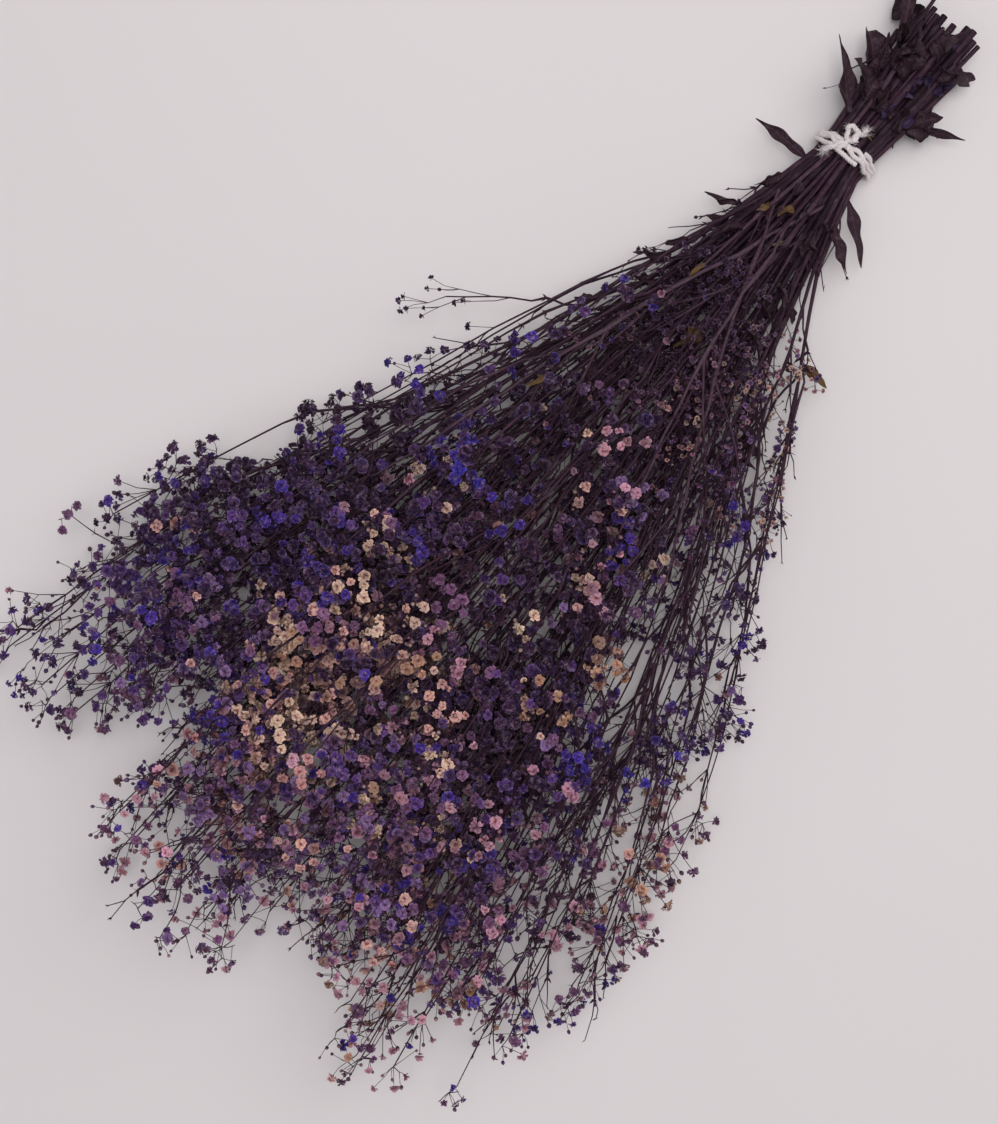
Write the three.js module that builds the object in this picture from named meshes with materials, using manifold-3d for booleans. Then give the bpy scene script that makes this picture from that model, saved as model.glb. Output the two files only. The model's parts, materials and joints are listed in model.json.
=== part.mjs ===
// Preserved baby's breath: 37 dried sprays tied with cotton string, lying on their side.
// Millimetres, +Z up. Growth is worked out with the tie over the origin: the cut ends point to +Y,
// the flower heads fan out towards -Y, and the surface that the bunch lies on is at z = 0.
// The finished bunch is then moved so that the middle of its underside is the origin.

import * as THREE from 'three';
import Module from 'manifold-3d';

const wasm = await Module();
wasm.setup();

// The bundle at the tie
const STEM_RADIUS = 2.05;
const STEM_PITCH = 4.5;
const ROW_PITCH = STEM_PITCH * Math.sin(Math.PI / 3);
const STEMS_IN_ROW = [4, 5, 6, 7, 6, 5, 4];
const MIDDLE_ROW = 3;
const BUNDLE_HALF = MIDDLE_ROW * STEM_PITCH;
const TIE_HALF = 8;

// The string
const STRING_RADIUS = 1.6;
const STRING_GAP = 0.35;
const STRING_TURNS = 3;
const STRING_PITCH = 3.4;
const TIE_HEIGHT = MIDDLE_ROW * ROW_PITCH + STEM_RADIUS + STRING_GAP + 2 * STRING_RADIUS;

// The cut ends
const BUTT_LENGTH = [68, 98];
const BUTT_SPLAY = [1.55, 1.12];

// The fan: degrees from -Y towards +X, and how far the sprays reach at that angle
const FAN_CENTRE = 1.5;
const FAN_HALF = 23;
const FAN_JITTER = 2.2;
const FAN_LEAVE = 0.66;
const FAN_ARRIVE = 0.62;
const REACH = [
  [-25, 470], [-20, 522], [-14, 532], [-10, 468], [-7.5, 540], [-3, 572], [1, 552], [4, 536], [6, 508],
  [9, 536], [12.5, 560], [16.5, 546], [19, 505], [23, 520], [25, 432], [28.5, 398],
];
const STEM_REACH = [0.91, 1.01];
const TIP_FLOOR = 13;
const FAN_HEIGHT = 74;
const FAN_TOP = 106;
const EDGE_DROP = 0.5;

// The sprays
const STATIONS = [0, 0.16, 0.42, 0.7, 1];
const TAPER = [1, 0.9, 0.72, 0.54, 0.38];
const STEM_SIDES = 5;
const TWIG_SIDES = 3;
const BRANCHES = [
  { start: 0.2, end: 0.64, spread: [16, 40], forks: 1 },
  { start: 0.34, end: 0.77, spread: [18, 44], forks: 1 },
  { start: 0.5, end: 0.89, spread: [18, 46], forks: 1 },
  { start: 0.64, end: 0.98, spread: [18, 44], forks: 1 },
  { start: 0.27, end: 0.5, spread: [14, 36], forks: 1 },
  { start: 0.56, end: 0.84, spread: [16, 46], forks: 1 },
  { start: 0.42, end: 0.7, spread: [16, 46], forks: 1 },
];
const STATION_JITTER = 0.045;
const BOW_AT = 0.3;
const BOW_SHARE = 0.62;
const FLATTEN = 0.75;
const FORK_AT = [0.05, 0.5];
const FORK_FORWARD = [22, 46];
const FORK_ASIDE = [14, 26];
const BRANCH_RADIUS = 0.85;
const BRANCH_SHARE = 0.62;
const BRANCH_END_RADIUS = 0.65;
const TWIG_RADIUS = 0.52;
const HEAD_RADIUS = 9.2;
const SMALL_HEAD = 5.4;
const TIP_HEAD = 7;
const NECK_SHARE = 0.5;
const HEAD_CROWN = 0.55;
const LOOK_ALONG = 0.6;
const LOOK_UP = 0.8;
const FAN_OUT = 120;
const FAN_CORE = 40;
const LOOK_JITTER = 0.45;
const HEAD_RAGS = [1, 0.5, 0.93, 0.56, 1, 0.47, 0.9, 0.54];
const HEAD_CURL = [-0.13, 0.2, 0.02, 0.26, -0.08, 0.22, 0.05, 0.16];
const CLEARANCE = 0.4;
const STEM_CLEARANCE = 0.25;
const TRIES = 150;
const SEED = 2024;

// One sprig that strays out of the bunch on its left
const STRAY = { row: 3, column: 0, start: 0.3, bow: [-76, -168, 31], end: [-116, -199, 40] };

// Leaves left on the lower stems: spray, distance along the stem from the tie (+ towards the cut end),
// length, width, and the direction that the blade points in, as degrees round from -Y and up.
// The outline is pairs: how far along the blade, and its half width there as a share of the full width
const LEAF_THICKNESS = 0.8;
const LEAF_WAVE = 0.08;
const LEAF_OUTLINE = [[0, 0.09], [0.3, 0.5], [0.62, 0.4], [1, 0.08]];
const LEAVES = [
  { row: 4, column: 0, at: 17, length: 42, width: 8.5, turn: -128, rise: 24 },
  { row: 3, column: 0, at: -15, length: 34, width: 7.5, turn: -92, rise: 8 },
  { row: 5, column: 0, at: 30, length: 24, width: 11, turn: -122, rise: 34 },
  { row: 4, column: 0, at: 66, length: 36, width: 8, turn: -142, rise: 20 },
  { row: 3, column: 6, at: 34, length: 30, width: 5.5, turn: 118, rise: 4 },
  { row: 3, column: 6, at: -18, length: 36, width: 7, turn: 52, rise: 10 },
  { row: 4, column: 5, at: -34, length: 30, width: 7, turn: 44, rise: 22 },
  { row: 3, column: 0, at: -58, length: 20, width: 6, turn: -74, rise: 18 },
  { row: 4, column: 0, at: -104, length: 22, width: 7, turn: -62, rise: 24 },
  { row: 6, column: 1, at: 52, length: 26, width: 12, turn: -150, rise: 40 },
  { row: 6, column: 2, at: 66, length: 24, width: 12, turn: 160, rise: 44 },
  { row: 5, column: 4, at: 58, length: 24, width: 10, turn: 128, rise: 30 },
  { row: 6, column: 3, at: -46, length: 20, width: 8, turn: 30, rise: 40 },
  { row: 6, column: 0, at: -70, length: 22, width: 8, turn: -34, rise: 36 },
];

const UP = new THREE.Vector3(0, 0, 1);
const radians = THREE.MathUtils.degToRad;

// Seeded draws from 0 to 1
function draws(seed) {
  let state = seed >>> 0;
  return () => {
    state = (state + 0x6d2b79f5) >>> 0;
    let mixed = Math.imul(state ^ (state >>> 15), state | 1);
    mixed ^= mixed + Math.imul(mixed ^ (mixed >>> 7), mixed | 61);
    return ((mixed ^ (mixed >>> 14)) >>> 0) / 4294967296;
  };
}

function between(draw, [low, high]) {
  return low + (high - low) * draw();
}

// How far the bunch reaches at an angle in degrees: nowhere past its two edges
function reachAt(angle) {
  const next = REACH.findIndex(([edge]) => edge >= angle);
  if (next < 1) {
    return 0;
  }
  const [low, near] = REACH[next - 1];
  const [high, far] = REACH[next];
  return near + (far - near) * (angle - low) / (high - low);
}

function insideFan(point) {
  const angle = THREE.MathUtils.radToDeg(Math.atan2(point.x, -point.y));
  return point.z < FAN_TOP && Math.hypot(point.x, point.y) < reachAt(angle) - TIP_HEAD;
}

// Shortest distance between two straight lengths, where one of no length is a point
function distanceBetween(a, b, c, d) {
  const ab = b.clone().sub(a);
  const cd = d.clone().sub(c);
  const ca = a.clone().sub(c);
  const along = ab.dot(ab);
  const other = cd.dot(cd);
  const cross = ab.dot(cd);
  const start = ab.dot(ca);
  const offset = cd.dot(ca);
  const spread = along * other - cross * cross;
  let s = spread > 1e-9 ? THREE.MathUtils.clamp((cross * offset - start * other) / spread, 0, 1) : 0;
  let t = (cross * s + offset) / Math.max(other, 1e-9);
  if (t < 0 || t > 1 || spread <= 1e-9) {
    t = THREE.MathUtils.clamp(t, 0, 1);
    s = THREE.MathUtils.clamp((cross * t - start) / Math.max(along, 1e-9), 0, 1);
  }
  return a.clone().addScaledVector(ab, s).distanceTo(c.clone().addScaledVector(cd, t));
}

// Everything grown so far, as straight lengths with a radius
const grown = [];

function isClear(lengths, parent, clearance) {
  return lengths.every((mine) => grown.every((other) => {
    if (other.part === parent && !mine.head && !other.head) {
      return true;
    }
    const apart = mine.radius + other.radius + clearance;
    return distanceBetween(mine.from, mine.to, other.from, other.to) > apart;
  }));
}

function lengthsOf(points, radii) {
  return points.slice(1).map((to, i) => ({ from: points[i], to, radius: Math.max(radii[i], radii[i + 1]) }));
}

// A head on the end of a twig that runs one way: it turns its face up and outwards
function headOn(end, way, radius, draw) {
  const out = new THREE.Vector3(
    end.x / FAN_OUT + between(draw, [-LOOK_JITTER, LOOK_JITTER]),
    between(draw, [-LOOK_JITTER, LOOK_JITTER]),
    LOOK_UP + (end.z - FAN_CORE) / FAN_OUT,
  );
  const axis = way.clone().multiplyScalar(LOOK_ALONG).add(out).normalize();
  return { centre: end, axis, radius, neck: end.clone().addScaledVector(axis, -NECK_SHARE * radius) };
}

function headLength({ centre, radius }) {
  return { from: centre, to: centre, radius, head: true };
}

function add(piece) {
  for (const length of piece.lengths) {
    grown.push({ ...length, part: piece });
  }
}

// The first draw that clears everything grown before it, bar the stem that it leaves, or null
function firstClear(parent, clearance, propose) {
  for (let attempt = 0; attempt < TRIES; attempt += 1) {
    const piece = propose(attempt / (TRIES - 1));
    if (piece && isClear(piece.lengths, parent, clearance)) {
      add(piece);
      return piece;
    }
  }
  return null;
}

// Main stems

function bezier(a, b, c, d, u) {
  const v = 1 - u;
  return a * v * v * v + 3 * b * u * v * v + 3 * c * u * u * v + d * u * u * u;
}

function growStem(row, column, draw) {
  const seatX = (column - (STEMS_IN_ROW[row] - 1) / 2) * STEM_PITCH;
  const seatZ = TIE_HEIGHT + (row - MIDDLE_ROW) * ROW_PITCH;
  const butt = between(draw, BUTT_LENGTH);
  const endZ = TIE_HEIGHT + (seatZ - TIE_HEIGHT) * BUTT_SPLAY[1];
  const end = new THREE.Vector3(seatX * BUTT_SPLAY[0], butt, endZ);
  const fan = FAN_CENTRE + FAN_HALF * seatX / BUNDLE_HALF;
  const roll = between(draw, [0, 2 * Math.PI]);
  return firstClear(null, STEM_CLEARANCE, () => {
    const angle = fan + between(draw, [-FAN_JITTER, FAN_JITTER]);
    const reach = (reachAt(angle) - TIP_HEAD) * between(draw, STEM_REACH);
    const turn = radians(angle);
    const tip = new THREE.Vector3(reach * Math.sin(turn), -reach * Math.cos(turn), 0);
    const edge = (angle - FAN_CENTRE) / FAN_HALF;
    const height = FAN_HEIGHT * (1 - EDGE_DROP * edge * edge);
    const tipZ = TIP_FLOOR + height * row / (2 * MIDDLE_ROW) + between(draw, [-1.5, 1.5]);
    const leave = turn * FAN_LEAVE;
    const arrive = turn * FAN_ARRIVE;
    const third = reach / 3;
    const points = STATIONS.map((u) => new THREE.Vector3(
      bezier(seatX, seatX + third * Math.sin(leave), tip.x - third * Math.sin(arrive), tip.x, u),
      bezier(-TIE_HALF, -TIE_HALF - third * Math.cos(leave), tip.y + third * Math.cos(arrive), tip.y, u),
      seatZ + (tipZ - seatZ) * u * (2 - u),
    ));
    const radii = TAPER.map((share) => STEM_RADIUS * share);
    const path = [end, new THREE.Vector3(seatX, TIE_HALF, seatZ), ...points];
    const pathRadii = [STEM_RADIUS, STEM_RADIUS, ...radii];
    const way = directionAt(points, 1);
    const head = headOn(points.at(-1).clone().addScaledVector(way, TIP_HEAD), way, TIP_HEAD, draw);
    return {
      row, column, roll, points, radii, path, pathRadii, head, twigs: [], leaves: [],
      lengths: [...lengthsOf([...path, head.neck], [...pathRadii, radii.at(-1)]), headLength(head)],
    };
  });
}

function stretchAt(u) {
  const next = Math.min(Math.max(STATIONS.findIndex((station) => station >= u), 1), STATIONS.length - 1);
  return { next, share: (u - STATIONS[next - 1]) / (STATIONS[next] - STATIONS[next - 1]) };
}

function pointAt(points, u) {
  const { next, share } = stretchAt(u);
  return points[next - 1].clone().lerp(points[next], share);
}

function directionAt(points, u) {
  const { next } = stretchAt(u);
  return points[next].clone().sub(points[next - 1]).normalize();
}

function radiusAt(radii, u) {
  const { next, share } = stretchAt(u);
  return radii[next - 1] + (radii[next] - radii[next - 1]) * share;
}

// The bearing of one of a section's flat sides, where a twig breaks out
function flatSide(draw, phase, sides) {
  return phase + 2 * Math.PI * (Math.floor(draw() * sides) + 0.5) / sides;
}

// A step aside from a direction: turn 0 is level, a quarter turn is up
function aside(direction, turn, distance, flatten = 1) {
  const side = direction.clone().cross(UP).normalize();
  const above = side.clone().cross(direction);
  return side.multiplyScalar(Math.cos(turn) * distance)
    .addScaledVector(above, Math.sin(turn) * distance * flatten);
}

function onSurface(point, radius) {
  point.z = Math.max(point.z, radius);
  return point;
}

// Side branches and their forks, each ending in a head

function twig(points, end, radii, roll, headRadius, draw) {
  const way = end.clone().sub(points.at(-1)).normalize();
  const head = headOn(end, way, headRadius, draw);
  const path = [...points, head.neck];
  return { points: path, radii, roll, head, lengths: [...lengthsOf(path, radii), headLength(head)] };
}

function shrinking(attempt) {
  return HEAD_RADIUS + (SMALL_HEAD - HEAD_RADIUS) * attempt;
}

function growBranch(spray, plan, draw) {
  const branch = firstClear(spray, CLEARANCE, (attempt) => {
    const headRadius = shrinking(attempt);
    const start = plan.start + between(draw, [-STATION_JITTER, STATION_JITTER]);
    const end = Math.min(1, plan.end + between(draw, [-STATION_JITTER, STATION_JITTER]));
    const turn = flatSide(draw, spray.roll, STEM_SIDES);
    const spread = between(draw, plan.spread);
    const roll = between(draw, [0, 2 * Math.PI]);
    const root = pointAt(spray.points, start);
    const way = directionAt(spray.points, start);
    const tip = pointAt(spray.points, end).add(aside(way, turn, spread, FLATTEN));
    const middle = root.clone().addScaledVector(way, BOW_AT * root.distanceTo(tip));
    middle.add(aside(way, turn, spread * BOW_SHARE));
    onSurface(middle, 2 * TWIG_RADIUS);
    onSurface(tip, headRadius);
    const rootRadius = Math.min(BRANCH_RADIUS, BRANCH_SHARE * radiusAt(spray.radii, start));
    return insideFan(tip)
      ? twig([root, middle], tip, [rootRadius, rootRadius, BRANCH_END_RADIUS], roll, headRadius, draw)
      : null;
  });
  if (branch) {
    spray.twigs.push(branch);
    for (let fork = 0; fork < plan.forks; fork += 1) {
      growFork(spray, branch, draw);
    }
  }
}

function growFork(spray, branch, draw) {
  const middle = branch.points[1];
  const tip = branch.head.neck;
  const way = tip.clone().sub(middle).normalize();
  const fork = firstClear(branch, CLEARANCE, (attempt) => {
    const headRadius = shrinking(attempt);
    const root = middle.clone().lerp(tip, between(draw, FORK_AT));
    const turn = flatSide(draw, branch.roll, TWIG_SIDES);
    const end = root.clone().addScaledVector(way, between(draw, FORK_FORWARD));
    end.add(aside(way, turn, between(draw, FORK_ASIDE)));
    onSurface(end, headRadius);
    return insideFan(end)
      ? twig([root], end, [TWIG_RADIUS, TWIG_RADIUS], branch.roll, headRadius, draw)
      : null;
  });
  if (fork) {
    spray.twigs.push(fork);
  }
}

function growStray(spray, draw) {
  const points = [pointAt(spray.points, STRAY.start), new THREE.Vector3(...STRAY.bow)];
  const radii = [BRANCH_RADIUS, BRANCH_RADIUS, BRANCH_END_RADIUS];
  const stray = twig(points, new THREE.Vector3(...STRAY.end), radii, 0, SMALL_HEAD, draw);
  add(stray);
  spray.twigs.push(stray);
}

function growLeaf(spray, plan) {
  const path = spray.path;
  const next = path.findIndex((point) => point.y < plan.at);
  const before = path[next - 1];
  const root = before.clone().lerp(path[next], (before.y - plan.at) / (before.y - path[next].y));
  const turn = radians(plan.turn);
  const rise = radians(plan.rise);
  const way = new THREE.Vector3(
    Math.sin(turn) * Math.cos(rise), -Math.cos(turn) * Math.cos(rise), Math.sin(rise));
  const tip = root.clone().addScaledVector(way, plan.length);
  onSurface(tip, LEAF_THICKNESS);
  const leaf = { ...plan, root, tip, lengths: [{ from: root, to: tip, radius: plan.width / 2 }] };
  add(leaf);
  spray.leaves.push(leaf);
}

function growBunch() {
  const sprays = [];
  STEMS_IN_ROW.forEach((count, row) => {
    for (let column = 0; column < count; column += 1) {
      sprays.push(growStem(row, column, draws(SEED + 100 * row + column)));
    }
  });
  const find = ({ row, column }) => sprays.find((spray) => spray.row === row && spray.column === column);
  for (const leaf of LEAVES) {
    growLeaf(find(leaf), leaf);
  }
  growStray(find(STRAY), draws(SEED));
  BRANCHES.forEach((plan, round) => {
    sprays.forEach((spray, place) => growBranch(spray, plan, draws(SEED + 1000 * (round + 1) + place)));
  });
  return sprays;
}

// Closed meshes

// A closed skin over rings of points, each ring a list, with a flat cap on each end ring
function skin(rings, closed = false) {
  const firsts = [];
  const positions = [];
  for (const ring of rings) {
    firsts.push(positions.length / 3);
    for (const point of ring) {
      positions.push(point.x, point.y, point.z);
    }
  }
  const faces = [];
  const stretches = closed ? rings.length : rings.length - 1;
  for (let k = 0; k < stretches; k += 1) {
    const after = (k + 1) % rings.length;
    stitch(faces, firsts[k], rings[k].length, firsts[after], rings[after].length);
  }
  if (!closed) {
    cap(faces, firsts[0], rings[0].length, true);
    cap(faces, firsts.at(-1), rings.at(-1).length, false);
  }
  return solid(positions, faces);
}

function stitch(faces, first, count, next, nextCount) {
  let i = 0;
  let j = 0;
  while (i < count || j < nextCount) {
    const a = first + i % count;
    const b = next + j % nextCount;
    const stepLower = j >= nextCount || (i < count && (i + 1) / count <= (j + 1) / nextCount);
    if (stepLower) {
      i += 1;
      if (count > 1) {
        faces.push([a, first + i % count, b]);
      }
    } else {
      j += 1;
      if (nextCount > 1) {
        faces.push([a, next + j % nextCount, b]);
      }
    }
  }
}

function cap(faces, first, count, start) {
  for (let k = 1; k < count - 1; k += 1) {
    faces.push(start ? [first, first + k + 1, first + k] : [first, first + k, first + k + 1]);
  }
}

function solid(positions, faces) {
  const at = (index) => new THREE.Vector3().fromArray(positions, 3 * index);
  const volume = faces.reduce((sum, [a, b, c]) => sum + at(a).dot(at(b).cross(at(c))), 0);
  const outward = volume > 0 ? faces : faces.map(([a, b, c]) => [a, c, b]);
  return new wasm.Manifold(new wasm.Mesh({
    numProp: 3,
    vertProperties: new Float32Array(positions),
    triVerts: new Uint32Array(outward.flat()),
  }));
}

// The two directions square to a third, the first of them also square to a reference
function frameAcross(direction, reference) {
  const side = direction.clone().cross(reference).normalize();
  return [side, side.clone().cross(direction).normalize()];
}

// A ring of points round a centre, square to a direction; radii repeat round the ring
function ringRound(centre, direction, reference, sides, roll, radii, lifts = [0]) {
  const [side, above] = frameAcross(direction, reference);
  return Array.from({ length: sides }, (_, k) => {
    const turn = roll + 2 * Math.PI * k / sides;
    const radius = radii[k % radii.length];
    return centre.clone()
      .addScaledVector(side, Math.cos(turn) * radius)
      .addScaledVector(above, Math.sin(turn) * radius)
      .addScaledVector(direction, lifts[k % lifts.length]);
  });
}

function tubeRings(points, radii, sides, roll, reference) {
  return points.map((point, k) => {
    const before = points[Math.max(k - 1, 0)];
    const after = points[Math.min(k + 1, points.length - 1)];
    const direction = after.clone().sub(before).normalize();
    return ringRound(point, direction, reference, sides, roll, [radii[k]]);
  });
}

// A ragged double floret at the end of a tube: a star of petal tips and hollows under a raised middle
function headRings({ centre, axis, radius }, neckRing) {
  const lead = neckRing[0].clone().sub(centre);
  const [side, above] = frameAcross(axis, UP);
  const roll = Math.atan2(lead.dot(above), lead.dot(side));
  const radii = HEAD_RAGS.map((share) => share * radius);
  const lifts = HEAD_CURL.map((share) => share * radius);
  const star = ringRound(centre, axis, UP, HEAD_RAGS.length, roll, radii, lifts);
  return [star, [centre.clone().addScaledVector(axis, HEAD_CROWN * radius)]];
}

function twigSolid({ points, radii, roll, head }) {
  const rings = tubeRings(points, radii, TWIG_SIDES, roll, UP);
  return skin([...rings, ...headRings(head, rings.at(-1))]);
}

function stemSolid({ path, pathRadii, roll, head }) {
  const rings = tubeRings(path, pathRadii, STEM_SIDES, roll, UP);
  return skin([...rings, ...headRings(head, rings.at(-1))]);
}

// A lance-shaped leaf: a thin blade, both faces split into triangles alike
function leafSolid({ root, tip, width }) {
  const way = tip.clone().sub(root);
  const side = way.clone().cross(UP).normalize();
  const normal = side.clone().cross(way).normalize();
  const positions = [];
  for (const [share, half] of LEAF_OUTLINE) {
    const centre = root.clone().addScaledVector(way, share);
    const lift = LEAF_WAVE * width * Math.sin(2 * Math.PI * share);
    for (const across of [-half, half]) {
      for (const face of [-0.5, 0.5]) {
        const point = centre.clone()
          .addScaledVector(side, across * width)
          .addScaledVector(normal, face * LEAF_THICKNESS + lift);
        positions.push(point.x, point.y, point.z);
      }
    }
  }
  const faces = [[0, 1, 3], [0, 3, 2]];
  for (let k = 0; k < LEAF_OUTLINE.length - 1; k += 1) {
    const [a, b, c, d] = [4 * k, 4 * k + 2, 4 * k + 4, 4 * k + 6];
    faces.push([a, b, c], [b, d, c], [a + 1, c + 1, b + 1], [b + 1, c + 1, d + 1]);
    faces.push([a, c, a + 1], [a + 1, c, c + 1], [b, b + 1, d], [b + 1, d + 1, d]);
  }
  const last = 4 * (LEAF_OUTLINE.length - 1);
  faces.push([last, last + 3, last + 1], [last, last + 2, last + 3]);
  return solid(positions, faces);
}

function fuse(solids) {
  return solids.reduce((whole, piece) => whole.add(piece));
}

function spraySolid(spray) {
  return fuse([stemSolid(spray), ...spray.twigs.map(twigSolid), ...spray.leaves.map(leafSolid)]);
}

// The string: turns that follow the six corner stems, a knot on top, an ear and two tails

function turnPoints(y, slant) {
  const radius = (STEM_RADIUS + STRING_GAP + STRING_RADIUS) / Math.cos(Math.PI / 12);
  const points = [];
  for (let corner = 0; corner < 6; corner += 1) {
    const bearing = corner * Math.PI / 3;
    for (const half of [-Math.PI / 12, Math.PI / 12]) {
      points.push(new THREE.Vector3(
        BUNDLE_HALF * Math.cos(bearing) + radius * Math.cos(bearing + half),
        y + slant * Math.sin(bearing + half),
        TIE_HEIGHT + BUNDLE_HALF * Math.sin(bearing) + radius * Math.sin(bearing + half),
      ));
    }
  }
  return points;
}

function turnSolid(y, slant) {
  const points = turnPoints(y, slant);
  const across = new THREE.Vector3(0, 1, 0);
  const rings = points.map((point, k) => {
    const before = points[(k + points.length - 1) % points.length];
    const after = points[(k + 1) % points.length];
    return ringRound(point, after.clone().sub(before).normalize(), across, 5, 0, [STRING_RADIUS]);
  });
  return skin(rings, true);
}

function cordSolid(points) {
  const path = points.map(([x, y, z]) => new THREE.Vector3(x, y, TIE_HEIGHT + MIDDLE_ROW * ROW_PITCH + z));
  const reference = new THREE.Vector3(0.13, 0.21, 1).normalize();
  return skin(tubeRings(path, path.map(() => STRING_RADIUS), 5, 0, reference));
}

function stringSolid() {
  const top = STEM_RADIUS + STRING_GAP + STRING_RADIUS;
  const turns = Array.from({ length: STRING_TURNS }, (_, k) => {
    const place = k - (STRING_TURNS - 1) / 2;
    return turnSolid(place * STRING_PITCH, 0);
  });
  const knot = cordSolid([[-4.6, -4.4, top + 0.6], [-4, 0, top + 1.4], [-3.4, 4.4, top + 0.6]]);
  const ear = cordSolid([
    [-3.8, 2.6, top + 1], [-7, 6.4, top + 2.8], [-5.6, 10, top + 2.6], [-1.6, 9, top + 2],
    [-3.4, 3.6, top + 1],
  ]);
  const tail = cordSolid([[-4.2, -2.2, top + 1], [0.6, -6.2, top + 2], [6.6, -7.6, top + 0.6]]);
  return fuse([...turns, knot, ear, tail]);
}

// The bunch

function geometryOf(body) {
  const { vertProperties, triVerts } = body.getMesh();
  const geometry = new THREE.BufferGeometry();
  geometry.setAttribute('position', new THREE.BufferAttribute(new Float32Array(vertProperties), 3));
  geometry.setIndex(new THREE.BufferAttribute(new Uint32Array(triVerts), 1));
  geometry.computeVertexNormals();
  return geometry;
}

function namedMesh(name, body, color, roughness) {
  const mesh = new THREE.Mesh(
    geometryOf(body), new THREE.MeshStandardMaterial({ color, roughness, metalness: 0 }));
  mesh.name = name;
  return mesh;
}

const bunch = new THREE.Group();
const DYES = [0x4a3c78, 0x5b4a86, 0x6b4f77, 0x7d5f82, 0x54407a];
const sprays = growBunch();
sprays.forEach((spray, place) => {
  const name = `spray_${spray.row}_${spray.column}`;
  bunch.add(namedMesh(name, spraySolid(spray), DYES[place % DYES.length], 0.85));
});
bunch.add(namedMesh('string_tie', stringSolid(), 0xe9e4e0, 0.9));

const box = new THREE.Box3().setFromObject(bunch);
bunch.position.set(-(box.min.x + box.max.x) / 2, -(box.min.y + box.max.y) / 2, -box.min.z);

export default bunch;
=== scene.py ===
import json
import math

import bmesh
import bpy
import numpy as np
from mathutils import Matrix, Vector

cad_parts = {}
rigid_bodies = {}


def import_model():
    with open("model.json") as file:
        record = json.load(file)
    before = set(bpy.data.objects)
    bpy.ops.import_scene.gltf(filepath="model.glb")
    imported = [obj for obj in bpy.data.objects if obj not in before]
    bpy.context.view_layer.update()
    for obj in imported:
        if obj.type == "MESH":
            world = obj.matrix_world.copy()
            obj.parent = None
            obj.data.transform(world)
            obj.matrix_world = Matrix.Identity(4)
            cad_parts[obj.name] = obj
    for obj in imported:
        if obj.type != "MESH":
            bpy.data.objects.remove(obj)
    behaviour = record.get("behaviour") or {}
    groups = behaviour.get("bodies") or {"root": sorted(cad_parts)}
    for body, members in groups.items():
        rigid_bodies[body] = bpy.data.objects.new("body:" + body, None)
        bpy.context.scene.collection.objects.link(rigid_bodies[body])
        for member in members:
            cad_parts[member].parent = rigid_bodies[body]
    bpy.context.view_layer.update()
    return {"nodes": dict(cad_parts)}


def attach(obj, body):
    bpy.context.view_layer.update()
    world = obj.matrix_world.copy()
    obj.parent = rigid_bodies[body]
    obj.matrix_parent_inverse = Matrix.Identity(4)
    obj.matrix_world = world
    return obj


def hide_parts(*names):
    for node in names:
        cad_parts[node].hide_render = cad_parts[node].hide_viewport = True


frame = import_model()

# Preserved baby's breath: dyed, dried sprays tied with cotton string and laid on a pale surface.
# The sprays are grown here by the same rule as their solids, in millimetres with the tie over the
# origin, and each head of a solid opens out into a cyme of ragged florets and buds.

# The bundle at the tie
STEM_RADIUS = 2.05
STEM_PITCH = 4.5
ROW_PITCH = STEM_PITCH * math.sin(math.pi / 3)
STEMS_IN_ROW = [4, 5, 6, 7, 6, 5, 4]
MIDDLE_ROW = 3
BUNDLE_HALF = MIDDLE_ROW * STEM_PITCH
TIE_HALF = 8

# The string
STRING_RADIUS = 1.6
STRING_GAP = 0.35
STRING_TURNS = 3
STRING_PITCH = 3.4
TIE_HEIGHT = MIDDLE_ROW * ROW_PITCH + STEM_RADIUS + STRING_GAP + 2 * STRING_RADIUS

# The cut ends
BUTT_LENGTH = (68, 98)
BUTT_SPLAY = (1.55, 1.12)

# The fan
FAN_CENTRE = 1.5
FAN_HALF = 23
FAN_JITTER = 2.2
FAN_LEAVE = 0.66
FAN_ARRIVE = 0.62
REACH = [
    (-25, 470), (-20, 522), (-14, 532), (-10, 468), (-7.5, 540), (-3, 572), (1, 552), (4, 536),
    (6, 508), (9, 536), (12.5, 560), (16.5, 546), (19, 505), (23, 520), (25, 432), (28.5, 398),
]
STEM_REACH = (0.91, 1.01)
TIP_FLOOR = 13
FAN_HEIGHT = 74
FAN_TOP = 106
EDGE_DROP = 0.5

# The sprays
STATIONS = [0, 0.16, 0.42, 0.7, 1]
TAPER = [1, 0.9, 0.72, 0.54, 0.38]
STEM_SIDES = 5
TWIG_SIDES = 3
BRANCHES = [
    (0.2, 0.64, (16, 40)), (0.34, 0.77, (18, 44)), (0.5, 0.89, (18, 46)), (0.64, 0.98, (18, 44)),
    (0.27, 0.5, (14, 36)), (0.56, 0.84, (16, 46)), (0.42, 0.7, (16, 46)),
]
STATION_JITTER = 0.045
BOW_AT = 0.3
BOW_SHARE = 0.62
FLATTEN = 0.75
FORK_AT = (0.05, 0.5)
FORK_FORWARD = (22, 46)
FORK_ASIDE = (14, 26)
BRANCH_RADIUS = 0.85
BRANCH_SHARE = 0.62
BRANCH_END_RADIUS = 0.65
TWIG_RADIUS = 0.52
HEAD_RADIUS = 9.2
SMALL_HEAD = 5.4
TIP_HEAD = 7
NECK_SHARE = 0.5
LOOK_ALONG = 0.6
LOOK_UP = 0.8
FAN_OUT = 120
FAN_CORE = 40
LOOK_JITTER = (-0.45, 0.45)
CLEARANCE = 0.4
STEM_CLEARANCE = 0.25
TRIES = 150
SEED = 2024
STRAY = {"row": 3, "column": 0, "start": 0.3, "bow": (-76, -168, 31), "end": (-116, -199, 40)}
LEAF_THICKNESS = 0.8
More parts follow.
